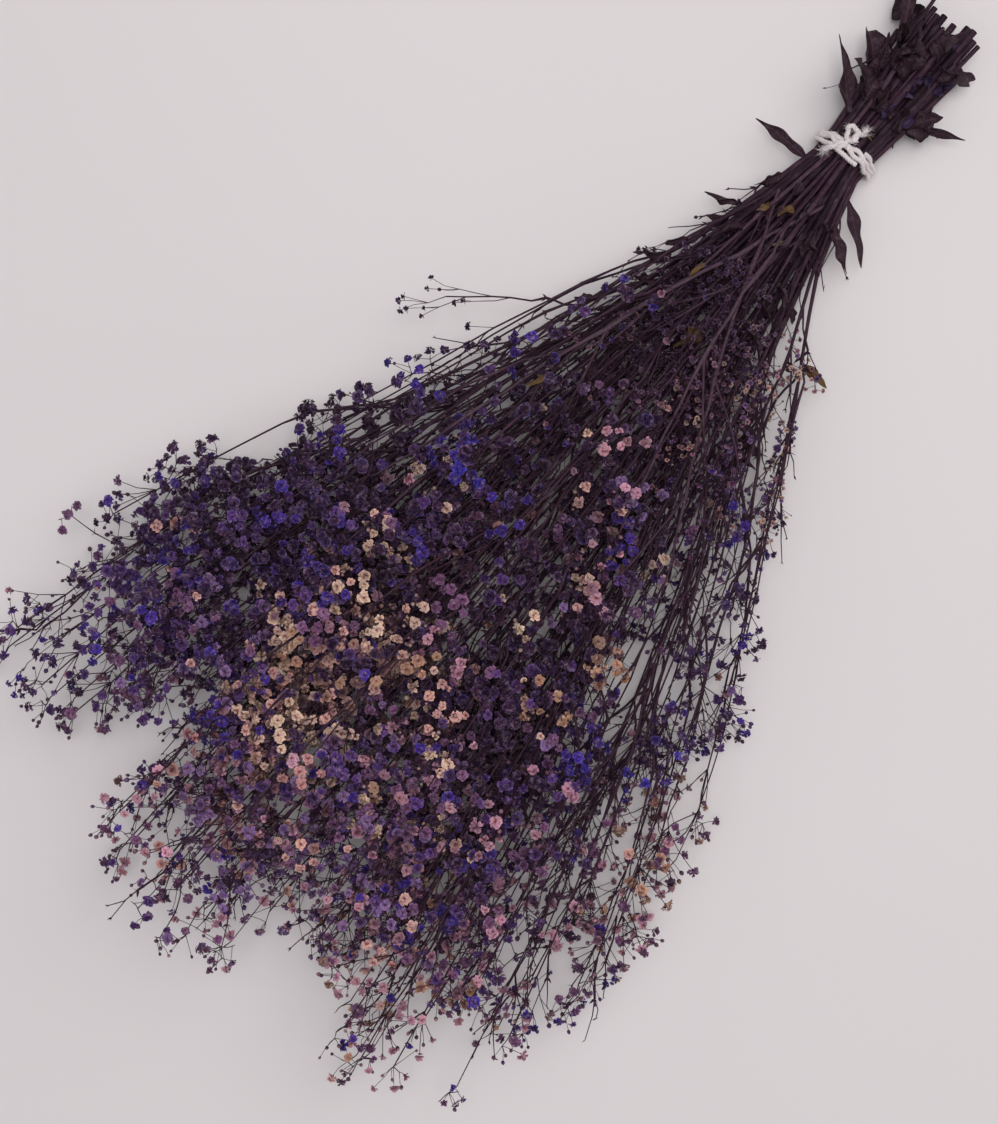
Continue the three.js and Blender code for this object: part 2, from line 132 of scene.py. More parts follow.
LEAVES = [
    (4, 0, 17, 42, 8.5, -128, 24), (3, 0, -15, 34, 7.5, -92, 8), (5, 0, 30, 24, 11, -122, 34),
    (4, 0, 66, 36, 8, -142, 20), (3, 6, 34, 30, 5.5, 118, 4), (3, 6, -18, 36, 7, 52, 10),
    (4, 5, -34, 30, 7, 44, 22), (3, 0, -58, 20, 6, -74, 18), (4, 0, -104, 22, 7, -62, 24),
    (6, 1, 52, 26, 12, -150, 40), (6, 2, 66, 24, 12, 160, 44), (5, 4, 58, 24, 10, 128, 30),
    (6, 3, -46, 20, 8, 30, 40), (6, 0, -70, 22, 8, -34, 36),
]

UP = np.array([0.0, 0.0, 1.0])
WORD = 0xFFFFFFFF


def unit(v):
    return v / max(np.linalg.norm(v), 1e-12)


def seeded_draws(seed):
    """Seeded draws from 0 to 1."""
    state = seed & WORD

    def draw():
        nonlocal state
        state = (state + 0x6D2B79F5) & WORD
        mixed = ((state ^ (state >> 15)) * (state | 1)) & WORD
        mixed ^= (mixed + (((mixed ^ (mixed >> 7)) * (mixed | 61)) & WORD)) & WORD
        return (mixed ^ (mixed >> 14)) / 4294967296

    return draw


def between(draw, span):
    return span[0] + (span[1] - span[0]) * draw()


def reach_at(angle):
    """How far the bunch reaches at an angle in degrees: nowhere past its two edges."""
    for (low, near), (high, far) in zip(REACH, REACH[1:]):
        if low < angle <= high:
            return near + (far - near) * (angle - low) / (high - low)
    return 0


def inside_fan(point):
    angle = math.degrees(math.atan2(point[0], -point[1]))
    return point[2] < FAN_TOP and math.hypot(point[0], point[1]) < reach_at(angle) - TIP_HEAD


class Grown:
    """Everything grown so far, as straight lengths with a radius."""

    def __init__(self, room=4000):
        self.start = np.zeros((room, 3))
        self.end = np.zeros((room, 3))
        self.radius = np.zeros(room)
        self.head = np.zeros(room, bool)
        self.part = np.zeros(room, int)
        self.count = 0
        self.parts = 0

    def add(self, piece):
        self.parts += 1
        piece["part"] = self.parts
        for a, b, radius, head in piece["lengths"]:
            k = self.count
            self.start[k], self.end[k], self.radius[k] = a, b, radius
            self.head[k], self.part[k] = head, self.parts
            self.count += 1

    def is_clear(self, lengths, parent, clearance):
        n = self.count
        if not n:
            return True
        c, d = self.start[:n], self.end[:n]
        cd = d - c
        other = (cd * cd).sum(1)
        for a, b, radius, head in lengths:
            ab = b - a
            ca = a - c
            along = ab @ ab
            cross = cd @ ab
            start = ca @ ab
            offset = (cd * ca).sum(1)
            spread = along * other - cross * cross
            far = spread > 1e-9
            s = np.where(far, np.clip((cross * offset - start * other) / np.where(far, spread, 1), 0, 1), 0)
            t = (cross * s + offset) / np.maximum(other, 1e-9)
            again = (t < 0) | (t > 1) | ~far
            t = np.where(again, np.clip(t, 0, 1), t)
            s = np.where(again, np.clip((cross * t - start) / max(along, 1e-9), 0, 1), s)
            gap = np.linalg.norm(ca + ab * s[:, None] - cd * t[:, None], axis=1)
            near = gap <= radius + self.radius[:n] + clearance
            if not head:
                near &= self.head[:n] | (self.part[:n] != parent)
            if near.any():
                return False
        return True

    def first_clear(self, parent, clearance, propose):
        for attempt in range(TRIES):
            piece = propose(attempt / (TRIES - 1))
            if piece and self.is_clear(piece["lengths"], parent, clearance):
                self.add(piece)
                return piece
        return None


def lengths_of(points, radii):
    return [(points[i], points[i + 1], max(radii[i], radii[i + 1]), False) for i in range(len(points) - 1)]


def head_on(end, way, radius, draw):
    """A head on the end of a twig that runs one way: it turns its face up and outwards."""
    out = np.array([
        end[0] / FAN_OUT + between(draw, LOOK_JITTER),
        between(draw, LOOK_JITTER),
        LOOK_UP + (end[2] - FAN_CORE) / FAN_OUT,
    ])
    axis = unit(way * LOOK_ALONG + out)
    return {"centre": end, "axis": axis, "radius": radius, "neck": end - NECK_SHARE * radius * axis}


def head_length(head):
    return (head["centre"], head["centre"], head["radius"], True)


def bezier(a, b, c, d, u):
    v = 1 - u
    return a * v ** 3 + 3 * b * u * v * v + 3 * c * u * u * v + d * u ** 3


def grow_stem(grown, row, column, draw):
    seat_x = (column - (STEMS_IN_ROW[row] - 1) / 2) * STEM_PITCH
    seat_z = TIE_HEIGHT + (row - MIDDLE_ROW) * ROW_PITCH
    butt = between(draw, BUTT_LENGTH)
    end = np.array([seat_x * BUTT_SPLAY[0], butt, TIE_HEIGHT + (seat_z - TIE_HEIGHT) * BUTT_SPLAY[1]])
    fan = FAN_CENTRE + FAN_HALF * seat_x / BUNDLE_HALF
    roll = between(draw, (0, 2 * math.pi))

    def propose(_):
        angle = fan + between(draw, (-FAN_JITTER, FAN_JITTER))
        reach = (reach_at(angle) - TIP_HEAD) * between(draw, STEM_REACH)
        turn = math.radians(angle)
        tip = (reach * math.sin(turn), -reach * math.cos(turn))
        edge = (angle - FAN_CENTRE) / FAN_HALF
        height = FAN_HEIGHT * (1 - EDGE_DROP * edge * edge)
        tip_z = TIP_FLOOR + height * row / (2 * MIDDLE_ROW) + between(draw, (-1.5, 1.5))
        leave = turn * FAN_LEAVE
        arrive = turn * FAN_ARRIVE
        third = reach / 3

        def at(u):
            return np.array([
                bezier(seat_x, seat_x + third * math.sin(leave), tip[0] - third * math.sin(arrive),
                       tip[0], u),
                bezier(-TIE_HALF, -TIE_HALF - third * math.cos(leave), tip[1] + third * math.cos(arrive),
                       tip[1], u),
                seat_z + (tip_z - seat_z) * u * (2 - u),
            ])

        points = [at(u) for u in STATIONS]
        radii = [STEM_RADIUS * share for share in TAPER]
        path = [end, np.array([seat_x, TIE_HALF, seat_z]), *points]
        path_radii = [STEM_RADIUS, STEM_RADIUS, *radii]
        way = unit(points[-1] - points[-2])
        head = head_on(points[-1] + way * TIP_HEAD, way, TIP_HEAD, draw)
        return {
            "row": row, "column": column, "roll": roll, "at": at, "points": points, "radii": radii,
            "path": path, "head": head, "twigs": [], "leaves": [], "reach": reach,
            "lengths": [*lengths_of([*path, head["neck"]], [*path_radii, radii[-1]]), head_length(head)],
        }

    return grown.first_clear(-1, STEM_CLEARANCE, propose)


def stretch_at(u):
    k = min(max(next((i for i, s in enumerate(STATIONS) if s >= u), -1), 1), len(STATIONS) - 1)
    return k, (u - STATIONS[k - 1]) / (STATIONS[k] - STATIONS[k - 1])


def point_at(points, u):
    k, share = stretch_at(u)
    return points[k - 1] + (points[k] - points[k - 1]) * share


def direction_at(points, u):
    k, _ = stretch_at(u)
    return unit(points[k] - points[k - 1])


def radius_at(radii, u):
    k, share = stretch_at(u)
    return radii[k - 1] + (radii[k] - radii[k - 1]) * share


def flat_side(draw, phase, sides):
    return phase + 2 * math.pi * (math.floor(draw() * sides) + 0.5) / sides


def aside(direction, turn, distance, flatten=1):
    """A step aside from a direction: turn 0 is level, a quarter turn is up."""
    side = unit(np.cross(direction, UP))
    above = np.cross(side, direction)
    return side * math.cos(turn) * distance + above * math.sin(turn) * distance * flatten


def on_surface(point, radius):
    point[2] = max(point[2], radius)


def twig(points, end, radii, roll, head_radius, draw):
    way = unit(end - points[-1])
    head = head_on(end, way, head_radius, draw)
    path = [*points, head["neck"]]
    return {"points": path, "radii": radii, "roll": roll, "head": head,
            "lengths": [*lengths_of(path, radii), head_length(head)]}


def shrinking(attempt):
    return HEAD_RADIUS + (SMALL_HEAD - HEAD_RADIUS) * attempt


def grow_branch(grown, spray, plan, draw):
    plan_start, plan_end, plan_spread = plan
    jitter = (-STATION_JITTER, STATION_JITTER)

    def propose(attempt):
        head_radius = shrinking(attempt)
        start = plan_start + between(draw, jitter)
        end = min(1, plan_end + between(draw, jitter))
        turn = flat_side(draw, spray["roll"], STEM_SIDES)
        spread = between(draw, plan_spread)
        roll = between(draw, (0, 2 * math.pi))
        root = point_at(spray["points"], start)
        way = direction_at(spray["points"], start)
        tip = point_at(spray["points"], end) + aside(way, turn, spread, FLATTEN)
        middle = root + way * BOW_AT * np.linalg.norm(tip - root) + aside(way, turn, spread * BOW_SHARE)
        on_surface(middle, 2 * TWIG_RADIUS)
        on_surface(tip, head_radius)
        root_radius = min(BRANCH_RADIUS, BRANCH_SHARE * radius_at(spray["radii"], start))
        if not inside_fan(tip):
            return None
        radii = [root_radius, root_radius, BRANCH_END_RADIUS]
        return {**twig([root, middle], tip, radii, roll, head_radius, draw), "start": start}

    branch = grown.first_clear(spray["part"], CLEARANCE, propose)
    if branch:
        spray["twigs"].append(branch)
        grow_fork(grown, spray, branch, draw)


def grow_fork(grown, spray, branch, draw):
    middle = branch["points"][1]
    tip = branch["head"]["neck"]
    way = unit(tip - middle)

    def propose(attempt):
        head_radius = shrinking(attempt)
        root = middle + (tip - middle) * between(draw, FORK_AT)
        turn = flat_side(draw, branch["roll"], TWIG_SIDES)
        end = root + way * between(draw, FORK_FORWARD)
        end = end + aside(way, turn, between(draw, FORK_ASIDE))
        on_surface(end, head_radius)
        if not inside_fan(end):
            return None
        made = twig([root], end, [TWIG_RADIUS, TWIG_RADIUS], branch["roll"], head_radius, draw)
        return {**made, "branch": branch}

    fork = grown.first_clear(branch["part"], CLEARANCE, propose)
    if fork:
        spray["twigs"].append(fork)


def grow_stray(grown, spray, draw):
    points = [point_at(spray["points"], STRAY["start"]), np.array(STRAY["bow"], float)]
    radii = [BRANCH_RADIUS, BRANCH_RADIUS, BRANCH_END_RADIUS]
    stray = twig(points, np.array(STRAY["end"], float), radii, 0, SMALL_HEAD, draw)
    stray["start"] = STRAY["start"]
    grown.add(stray)
    spray["twigs"].append(stray)


def grow_leaf(grown, spray, plan):
    _, _, at, length, width, turn, rise = plan
    path = spray["path"]
    k = next(i for i, point in enumerate(path) if point[1] < at)
    before = path[k - 1]
    root = before + (path[k] - before) * (before[1] - at) / (before[1] - path[k][1])
    turn, rise = math.radians(turn), math.radians(rise)
    way = np.array([math.sin(turn) * math.cos(rise), -math.cos(turn) * math.cos(rise), math.sin(rise)])
    tip = root + way * length
    on_surface(tip, LEAF_THICKNESS)
    leaf = {"root": root, "tip": tip, "width": width, "lengths": [(root, tip, width / 2, False)]}
    grown.add(leaf)
    spray["leaves"].append(leaf)


def grow_bunch():
    grown = Grown()
    sprays = [
        grow_stem(grown, row, column, seeded_draws(SEED + 100 * row + column))
        for row, count in enumerate(STEMS_IN_ROW) for column in range(count)
    ]
    find = {(spray["row"], spray["column"]): spray for spray in sprays}
    for plan in LEAVES:
        grow_leaf(grown, find[plan[:2]], plan)
    grow_stray(grown, find[STRAY["row"], STRAY["column"]], seeded_draws(SEED))
    for turn, plan in enumerate(BRANCHES, 1):
        for place, spray in enumerate(sprays):
            grow_branch(grown, spray, plan, seeded_draws(SEED + 1000 * turn + place))
    return sprays


def placed_shift(spray):
    """The move from where the sprays grow to where the solids lie, read at one spray's cut end."""
    corners = np.array([v.co for v in frame["nodes"]["spray_3_3"].data.vertices]) * 1000
    cut = corners[corners[:, 1] > corners[:, 1].max() - 0.4]
    cut = np.unique(np.round(cut, 3), axis=0)
    return cut.mean(0) - spray["path"][0]


def below_tie(spray, share):
    """A point on a stem below the tie, from the edge of the tie at 0 to the cut end at 1."""
    end, seat = spray["path"][:2]
    return seat + (end - seat) * share


# The dyes, as the colour of a petal in full light
DYES = {
    "indigo": (0.042, 0.020, 0.27), "blue": (0.040, 0.030, 0.36), "violet": (0.080, 0.034, 0.175),
    "lilac": (0.22, 0.125, 0.31), "plum": (0.036, 0.012, 0.058), "mauve": (0.180, 0.074, 0.175),
    "pink": (0.52, 0.26, 0.34), "salmon": (0.56, 0.27, 0.26), "peach": (0.82, 0.46, 0.40),
    "cream": (0.88, 0.61, 0.46), "tan": (0.50, 0.28, 0.18), "ochre": (0.34, 0.17, 0.09),
    "slate": (0.050, 0.031, 0.115),
}
PLUM = np.array(DYES["plum"])
# The dark dyes that florets deep in the bunch take, as painted shade there
DEEP_SHADE_DYES = {"plum": 4, "violet": 3, "indigo": 2, "slate": 1}

# Where the bunch has taken them up: the middle of each patch in plan, its radius, and the dyes there
# with how often each turns up
PATCHES = [
    ((-81, -243), 42, {"indigo": 6, "violet": 4, "blue": 2, "plum": 3, "tan": 0.3}),
    ((-60, -215), 30, {"indigo": 4, "violet": 3, "slate": 3}),
    ((-118, -330), 40, {"violet": 5, "indigo": 3, "plum": 4, "slate": 3}),
    ((-141, -411), 46, {"violet": 7, "lilac": 3, "plum": 2, "indigo": 2.5, "mauve": 2, "peach": 0.5}),
    ((-100, -385), 34, {"indigo": 4, "violet": 5, "plum": 4, "lilac": 1}),
    ((-121, -484), 44, {"mauve": 4, "plum": 3, "violet": 4, "pink": 1.5, "indigo": 1}),
    ((-16, -382), 46, {"peach": 8, "cream": 8, "tan": 1.6, "pink": 1.4, "indigo": 0.7, "lilac": 0.3}),
    ((-42, -352), 22, {"peach": 4, "cream": 4, "pink": 3, "mauve": 2}),
    ((-48, -318), 24, {"cream": 3, "pink": 3, "indigo": 2, "plum": 4, "violet": 2}),
    ((32, -245), 30, {"peach": 4, "cream": 2, "ochre": 0.4, "plum": 3, "lilac": 2, "pink": 2}),
    ((0, -296), 36, {"plum": 6, "mauve": 3, "violet": 3, "ochre": 0.4, "cream": 0.4}),
    ((10, -187), 34, {"mauve": 4, "plum": 4, "pink": 2, "lilac": 1, "violet": 2}),
    ((-21, -463), 34, {"salmon": 3, "mauve": 4, "violet": 2.5, "pink": 6, "peach": 2, "indigo": 1.5,
                       "lilac": 4}),
    ((39, -419), 40, {"violet": 3, "mauve": 5, "pink": 5, "indigo": 2, "cream": 1.2, "lilac": 5}),
    ((-27, -530), 44, {"mauve": 5, "pink": 4, "violet": 3, "plum": 1, "peach": 2, "lilac": 4, "indigo": 1}),
    ((32, -494), 40, {"violet": 2, "indigo": 1.6, "mauve": 4, "pink": 5, "peach": 1.6, "lilac": 6}),
    ((106, -342), 28, {"blue": 5, "indigo": 5, "violet": 3, "slate": 1}),
    ((134, -284), 30, {"indigo": 4, "violet": 4, "lilac": 1, "plum": 2}),
    ((60, -330), 34, {"plum": 4, "mauve": 3, "tan": 1, "violet": 3, "cream": 0.6}),
    ((115, -403), 36, {"mauve": 4, "pink": 3, "violet": 3, "plum": 2, "indigo": 1}),
    ((165, -368), 30, {"tan": 3, "pink": 3, "mauve": 3, "peach": 1}),
    ((124, -521), 46, {"pink": 4, "tan": 3, "mauve": 4, "peach": 1, "indigo": 1.5}),
    ((159, -464), 36, {"mauve": 4, "pink": 3, "indigo": 2, "violet": 2, "tan": 1}),
    ((43, -111), 30, {"pink": 4, "peach": 3, "lilac": 3, "mauve": 2}),
    ((75, -140), 28, {"slate": 4, "violet": 3, "lilac": 2, "pink": 1}),
    ((77, -200), 34, {"indigo": 4, "violet": 3, "mauve": 2, "slate": 1}),
    ((-5, -86), 26, {"violet": 4, "indigo": 2, "plum": 2}),
    ((-116, -199), 26, {"indigo": 3, "violet": 4}),
]

# Where the bunch flowers thinly inside its fan: the middle of each spot in plan and its radius
THIN = [((-20, -245), 52), ((20, -300), 34), ((55, -380), 32)]
THINNED = 0.66

# Painted shade deep in the bunch: how far florets' colours are darkened towards plum between two heights,
# less at the tips and over the pale middle
SHADE_HEIGHTS = (46, 94)
SHADE_DEEPEST = 0.92
SHADE_TIPS = (380, 460)
SHADE_AT_TIPS = 0.2
PALE_MIDDLE, PALE_RADIUS, PALE_SHARE = (-16, -380), 40, 0.8
SHADE_STRENGTH = 0.6
BRIGHTEST = 0.86


def nearness(place, middle, radius):
    """How near a place is to the middle of a round patch in plan, from 1 there down to 0 far off."""
    return math.exp(-((place[0] - middle[0]) ** 2 + (place[1] - middle[1]) ** 2) / radius ** 2)


def patch_at(place, rng):
    """The dyes of one of the patches round a place, the nearer ones more often."""
    pull = np.array([nearness(place, middle, radius) + 1e-4 for middle, radius, _ in PATCHES])
    return PATCHES[rng.choice(len(PATCHES), p=pull / pull.sum())][2]


def fullness(place):
    """How densely the bunch flowers at a place in plan, from 0 to 1."""
    angle = math.degrees(math.atan2(place[0], -place[1]))
    reach = reach_at(angle)
    if not reach:
        return 0.25 if math.hypot(place[0], place[1]) > 160 else 0.0
    out = math.hypot(place[0], place[1]) / reach
    side = (angle - FAN_CENTRE) / FAN_HALF
    full = np.interp(out, [0.24, 0.38, 0.54, 0.84, 0.97], [0, 0.3, 1, 1, 0.5])
    if side > 0:
        full *= np.interp(side, [0.3, 0.66], [1, np.interp(out, [0.4, 0.9], [0.03, 0.35])])
    else:
        full *= np.interp(-side, [0.4, 0.85], [1, np.interp(out, [0.42, 0.76], [0.06, 0.9])])
    thin = sum(nearness(place, middle, radius) for middle, radius in THIN)
    return float(full * (1 - THINNED * min(1, thin)))


def looseness(place):
    """How thinly the outermost cymes spread, from 0 inside the bunch to 1 at its tips."""
    angle = math.degrees(math.atan2(place[0], -place[1]))
    out = math.hypot(place[0], place[1]) / (reach_at(angle) or 400)
    side = (angle - FAN_CENTRE) / FAN_HALF
    return float(min(1, np.interp(out, [0.8, 0.96], [0, 1]) + np.interp(side, [0.5, 0.85], [0, 0.8])))


def painted_shade_at(place):
    """Painted shade: how far a floret's colour is darkened to plum, from 0 on top to nearly 1 deep in the
    bunch.
    """
    shade = (1 - looseness(place)) * float(np.interp(place[2], SHADE_HEIGHTS, [SHADE_DEEPEST, 0]))
    shade *= float(np.interp(math.hypot(place[0], place[1]), SHADE_TIPS, [1, SHADE_AT_TIPS]))
    return shade * (1 - PALE_SHARE * nearness(place, PALE_MIDDLE, PALE_RADIUS))


def pick_dye(palette, rng):
    weights = np.array(list(palette.values()), float)
    return np.array(DYES[list(palette)[rng.choice(len(palette), p=weights / weights.sum())]])


# The finer growth: the room that a floret takes, how far a cyme opens past its solid head, the joints
# of a main stem with how far it bends at them, how its girth falls off towards the head, and where the
# cut end stands when places along the stem count from the tie
FLORET_ROOM = 5.0
BURST = 1.75
STEM_JOINT = 44
JOINT_SWELL = 1.34
STEM_BEND = 3.4
SLENDER = [(0, 0.92), (0.12, 0.8), (0.3, 0.62), (0.6, 0.54), (1, 0.46)]
CUT_END_AT = -0.16

# No floret stands farther to the side than this, and the slim stems keep between these angles: past the
# crowding angle they close up, and past the bare one there are no bare stems
WIDEST = 194
SLIM_EDGES = (-19, 22)
SLIM_CROWDING = 6
SLIM_BARE = 6.8
SLIM_POINTS = 26

# Which of the ten shapes are open florets, half-open ones, buds and small florets, and the radii of the
# fine stalk under each
FLORETS, HALF_OPEN, BUDS, SMALL = (0, 1, 2, 3), (4, 5), (6, 7), (8, 9)
FINE_STALK = [0.24, 0.18, 0.2]


def smooth_line(points, count):
    """Points along a smooth curve through a few given ones."""
    points = np.array(points, float)
    before = np.vstack([2 * points[0] - points[1], points, 2 * points[-1] - points[-2]])
    spans = len(points) - 1
    out = []
    for u in np.linspace(0, spans, count):
        k = min(int(u), spans - 1)
        t = u - k
        a, b, c, d = before[k:k + 4]
        out.append(0.5 * (2 * b + (c - a) * t + (2 * a - 5 * b + 4 * c - d) * t * t
                          + (3 * b - 3 * c + d - a) * t ** 3))
    return np.array(out)


def any_turn(axis, rng, tilt=0):
    """A rotation that points +Z along an axis, with a random spin, as a quaternion."""
    axis = unit(np.asarray(axis, float) + rng.normal(0, tilt, 3) if tilt else np.asarray(axis, float))
    turn = Vector(axis).to_track_quat("Z", "Y")
    return turn @ Matrix.Rotation(rng.uniform(0, 2 * math.pi), 3, "Z").to_quaternion()


class Sprig:
    """The fine growth of one spray: lines with a radius, bracts, and florets."""

    def __init__(self, rng, tone, open_kinds):
        self.rng = rng
        self.tone = tone
        self.open_kinds = open_kinds
        self.lines = []
        self.bracts = []
        self.blooms = []

    def line(self, points, radii, tone=None):
        points = np.array(points, float)
        points[:, 2] = np.maximum(points[:, 2], np.array(radii) + 0.1)
        self.lines.append((points, np.array(radii, float), self.tone if tone is None else tone))

    def bract(self, place, axis, size):
        self.bracts.append((np.array(place), any_turn(axis, self.rng, 0.12), size))

    def bract_pair(self, place, way, gap, sizes, lean=1.0):
        """Two bracts, one on either side of a joint."""
        across = unit(np.cross(way, UP))
        for half in (1, -1):
            self.bract(place + across * half * gap, way + across * half * lean, self.rng.uniform(*sizes))

    def bloom(self, place, axis, size, kinds, dye):
        rng = self.rng
        bright = min(rng.normal(1, 0.22), BRIGHTEST / max(dye))
        # Painted shade: deep in the bunch the colour is darkened towards plum
        shade = painted_shade_at(place)
        colour = dye * bright * rng.normal(1, 0.03, 3) * (1 - shade) + PLUM * SHADE_STRENGTH * shade
        colour = np.clip(colour, 0.006, 0.9)
        kind = int(rng.choice(kinds))
        place = np.array(place, float)
        place[2] = max(place[2], 2.7 * size)
        self.blooms.append((place, any_turn(axis, rng, 0.15), size, kind, colour))

    def stalk(self, root, end, radii, bend):
        """A fine stalk that bows a little on its way."""
        middle = (np.asarray(root) + end) / 2 + self.rng.normal(0, bend, 3)
        self.line([root, middle, end], radii)


def stem_line(sprig, spray):
    """The main stem from its cut end, bent at swollen joints that carry pairs of small bracts.

    Returns where each bract stands: the joint, the way of the stem, the side, and the place along it.
    """
    rng = sprig.rng
    stout = rng.uniform(0.52, 1.06)
    joints = np.arange(0.1 + rng.uniform(0, 0.06), 0.97, STEM_JOINT / spray["reach"])
    joints = joints + rng.uniform(-0.016, 0.016, len(joints))
    knots = [0, *joints, 1]
    held_at_ends = np.sin(math.pi * np.clip(knots, 0, 1))[:, None]
    bends = rng.normal(0, STEM_BEND, (len(knots), 3)) * held_at_ends * (1, 0.3, 0.6)
    sprig.spine = lambda u: spray["at"](u) + [np.interp(u, knots, bends[:, axis]) for axis in range(3)]
    near = 3.2 / spray["reach"]
    stations = [(u, 1.0) for u in np.linspace(0, 1, 16) if min(abs(joints - u)) > 2 * near]
    for u in joints:
        stations += [(u - near, 1.02), (u, JOINT_SWELL), (u + near, 0.98)]
    stations.sort()
    end, seat = spray["path"][:2]
    bend = (end + seat) / 2 + rng.normal(0, 0.5, 3)
    points = [end, (end + bend) / 2 + rng.normal(0, 0.2, 3), bend, (bend + seat) / 2, seat]
    swells = (0.99, rng.uniform(0.9, 1.05), 1.2, rng.uniform(0.88, 1), 0.98)
    radii = [STEM_RADIUS * stout * swell for swell in swells]
    swollen = []
    for u, swell in stations:
        u = min(max(u, 0), 1)
        point = sprig.spine(u)
        points.append(point)
        radii.append(radius_at(spray["radii"], u) * swell * stout * np.interp(u, *zip(*SLENDER)))
        if swell == JOINT_SWELL:
            swollen.append((point, u))
    points.append(spray["head"]["neck"])
    radii.append(0.34)
    sprig.line(points, radii)
    sides = []
    for point, u in swollen:
        way = direction_at(spray["points"], u)
        around = rng.uniform(0, 2 * math.pi)
        for half in (0, math.pi):
            side = unit(aside(way, around + half, 1))
            root = point + side * radius_at(spray["radii"], u) * 0.7 * stout
            sprig.bract(root, way * 0.9 + side * 0.8, rng.uniform(0.8, 2.0))
            sides.append((point, way, side, u))
    return sides


def cyme(sprig, hub, centre, axis, radius, way, palette, share=1.0):
    """A loose cyme: fine forks from its hub, with a floret or a bud on each."""
    rng = sprig.rng
    loose = looseness(centre)
    wide = radius * BURST * (1 + 0.12 * loose)
    room = FLORET_ROOM * (1 + 0.3 * loose)
    side = unit(np.cross(axis, UP + 0.01 * way))
    above = np.cross(side, axis)
    count = max(2, int(round(share * (wide / room) ** 2 * 1.2)))
    spots = []
    for _ in range(30 * count):
        if len(spots) >= count:
            break
        turn, out = rng.uniform(0, 2 * math.pi), math.sqrt(rng.uniform(0, 1))
        lift = 0.5 * (1 - out * out) + rng.uniform(-0.5, 0.3)
        spot = centre + (side * math.cos(turn) + above * math.sin(turn)) * out * wide + axis * lift * radius
        within = spot[2] > 2.4 and abs(spot[0]) < WIDEST
        if within and all(np.linalg.norm(spot - other) > room for other in spots):
            spots.append(spot)
    dye = pick_dye(palette, rng)
    limbs = max(2, min(4, len(spots) // 3))
    bearings = rng.uniform(0, 2 * math.pi) + 2 * math.pi * np.arange(limbs) / limbs
    elbows = [
        hub + (centre - hub) * rng.uniform(0.3, 0.6)
        + (side * math.cos(b) + above * math.sin(b)) * wide * rng.uniform(0.25, 0.42) for b in bearings
    ]
    for elbow in elbows:
        sprig.stalk(hub, elbow, [0.34, 0.28, 0.27], 0.25)
        sprig.bract(elbow, elbow - hub, rng.uniform(0.4, 0.9))
    for spot in spots:
        elbow = min([*elbows, hub], key=lambda e: np.linalg.norm(e - spot))
        look = unit(axis * 0.6 + (spot - centre) / wide * 0.8 + unit(spot - elbow) * 0.4 + UP * 0.3)
        opened = rng.uniform(0, 1) + 0.12 * loose
        kinds = sprig.open_kinds if opened < 0.86 else HALF_OPEN if opened < 0.93 else BUDS
        size = rng.uniform(0.76, 1.28) * (1 - 0.1 * loose)
        tint = dye if rng.uniform(0, 1) < 0.66 else pick_dye(palette, rng)
        base = spot - look * 1.7 * size
        sprig.stalk(elbow, base, FINE_STALK, 0.35)
        sprig.bloom(spot, look, size, kinds, tint)
    for _ in range(int(rng.integers(0, 3 + int(3 * loose)))):
        elbow = elbows[int(rng.integers(0, len(elbows)))]
        out = unit(rng.normal(0, 1, 3) + way * 1.6 + UP * 0.4)
        tip = elbow + out * rng.uniform(6, 13)
        if tip[2] > 2 and abs(tip[0]) < WIDEST:
            sprig.stalk(elbow, tip, [0.24, 0.17, 0.2], 0.3)
            sprig.bloom(tip, out, rng.uniform(0.7, 1.05), BUDS, dye)


def side_stalks(sprig, line, palette, count):
    """Single florets and buds on fine stalks along the last stretch of a twig."""
    rng = sprig.rng
    for _ in range(count):
        k = int(rng.integers(len(line) // 2, len(line)))
        root, way = line[k], unit(line[k] - line[k - 1])
        out = unit(way * rng.uniform(0.9, 1.8) + aside(way, rng.uniform(0, 2 * math.pi), 1))
        tip = root + out * rng.uniform(7, 15)
        if tip[2] < 2.5 or abs(tip[0]) > WIDEST:
            continue
        sprig.stalk(root, tip - out * 1.4, FINE_STALK, 0.35)
        bud = rng.uniform(0, 1) < 0.3
        sprig.bloom(tip, unit(out + UP * 0.4), rng.uniform(0.7, 1.1), BUDS if bud else sprig.open_kinds,
                    pick_dye(palette, rng))


def lace(sprig, root, way, palette):
    """A lacy sprig of tiny florets and buds that lies among the stems."""
    rng = sprig.rng
    out = unit(way * rng.uniform(0.5, 1.4) + aside(way, rng.uniform(0.2, math.pi - 0.2), 1))
    length = rng.uniform(14, 26)
    line = smooth_line([root, root + out * length * 0.5 + rng.normal(0, 1.2, 3), root + out * length], 7)
    sprig.line(line, [0.34, 0.28, 0.3, 0.26, 0.28, 0.24, 0.22])
    dye = pick_dye(palette, rng)
    for k in range(1, 7):
        for _ in range(2):
            turn = unit(out * rng.uniform(0.2, 1.2) + rng.normal(0, 1, 3) + UP * 0.5)
            tip = line[k] + turn * rng.uniform(3, 7)
            sprig.stalk(line[k], tip, [0.2, 0.16, 0.17], 0.3)
            size = rng.uniform(0.38, 0.64)
            kinds = SMALL if rng.uniform(0, 1) < 0.75 else BUDS
            tint = dye if rng.uniform(0, 1) < 0.6 else pick_dye(palette, rng)
            sprig.bloom(tip, unit(turn + UP * 0.5), size, kinds, tint * rng.uniform(0.6, 1.15))


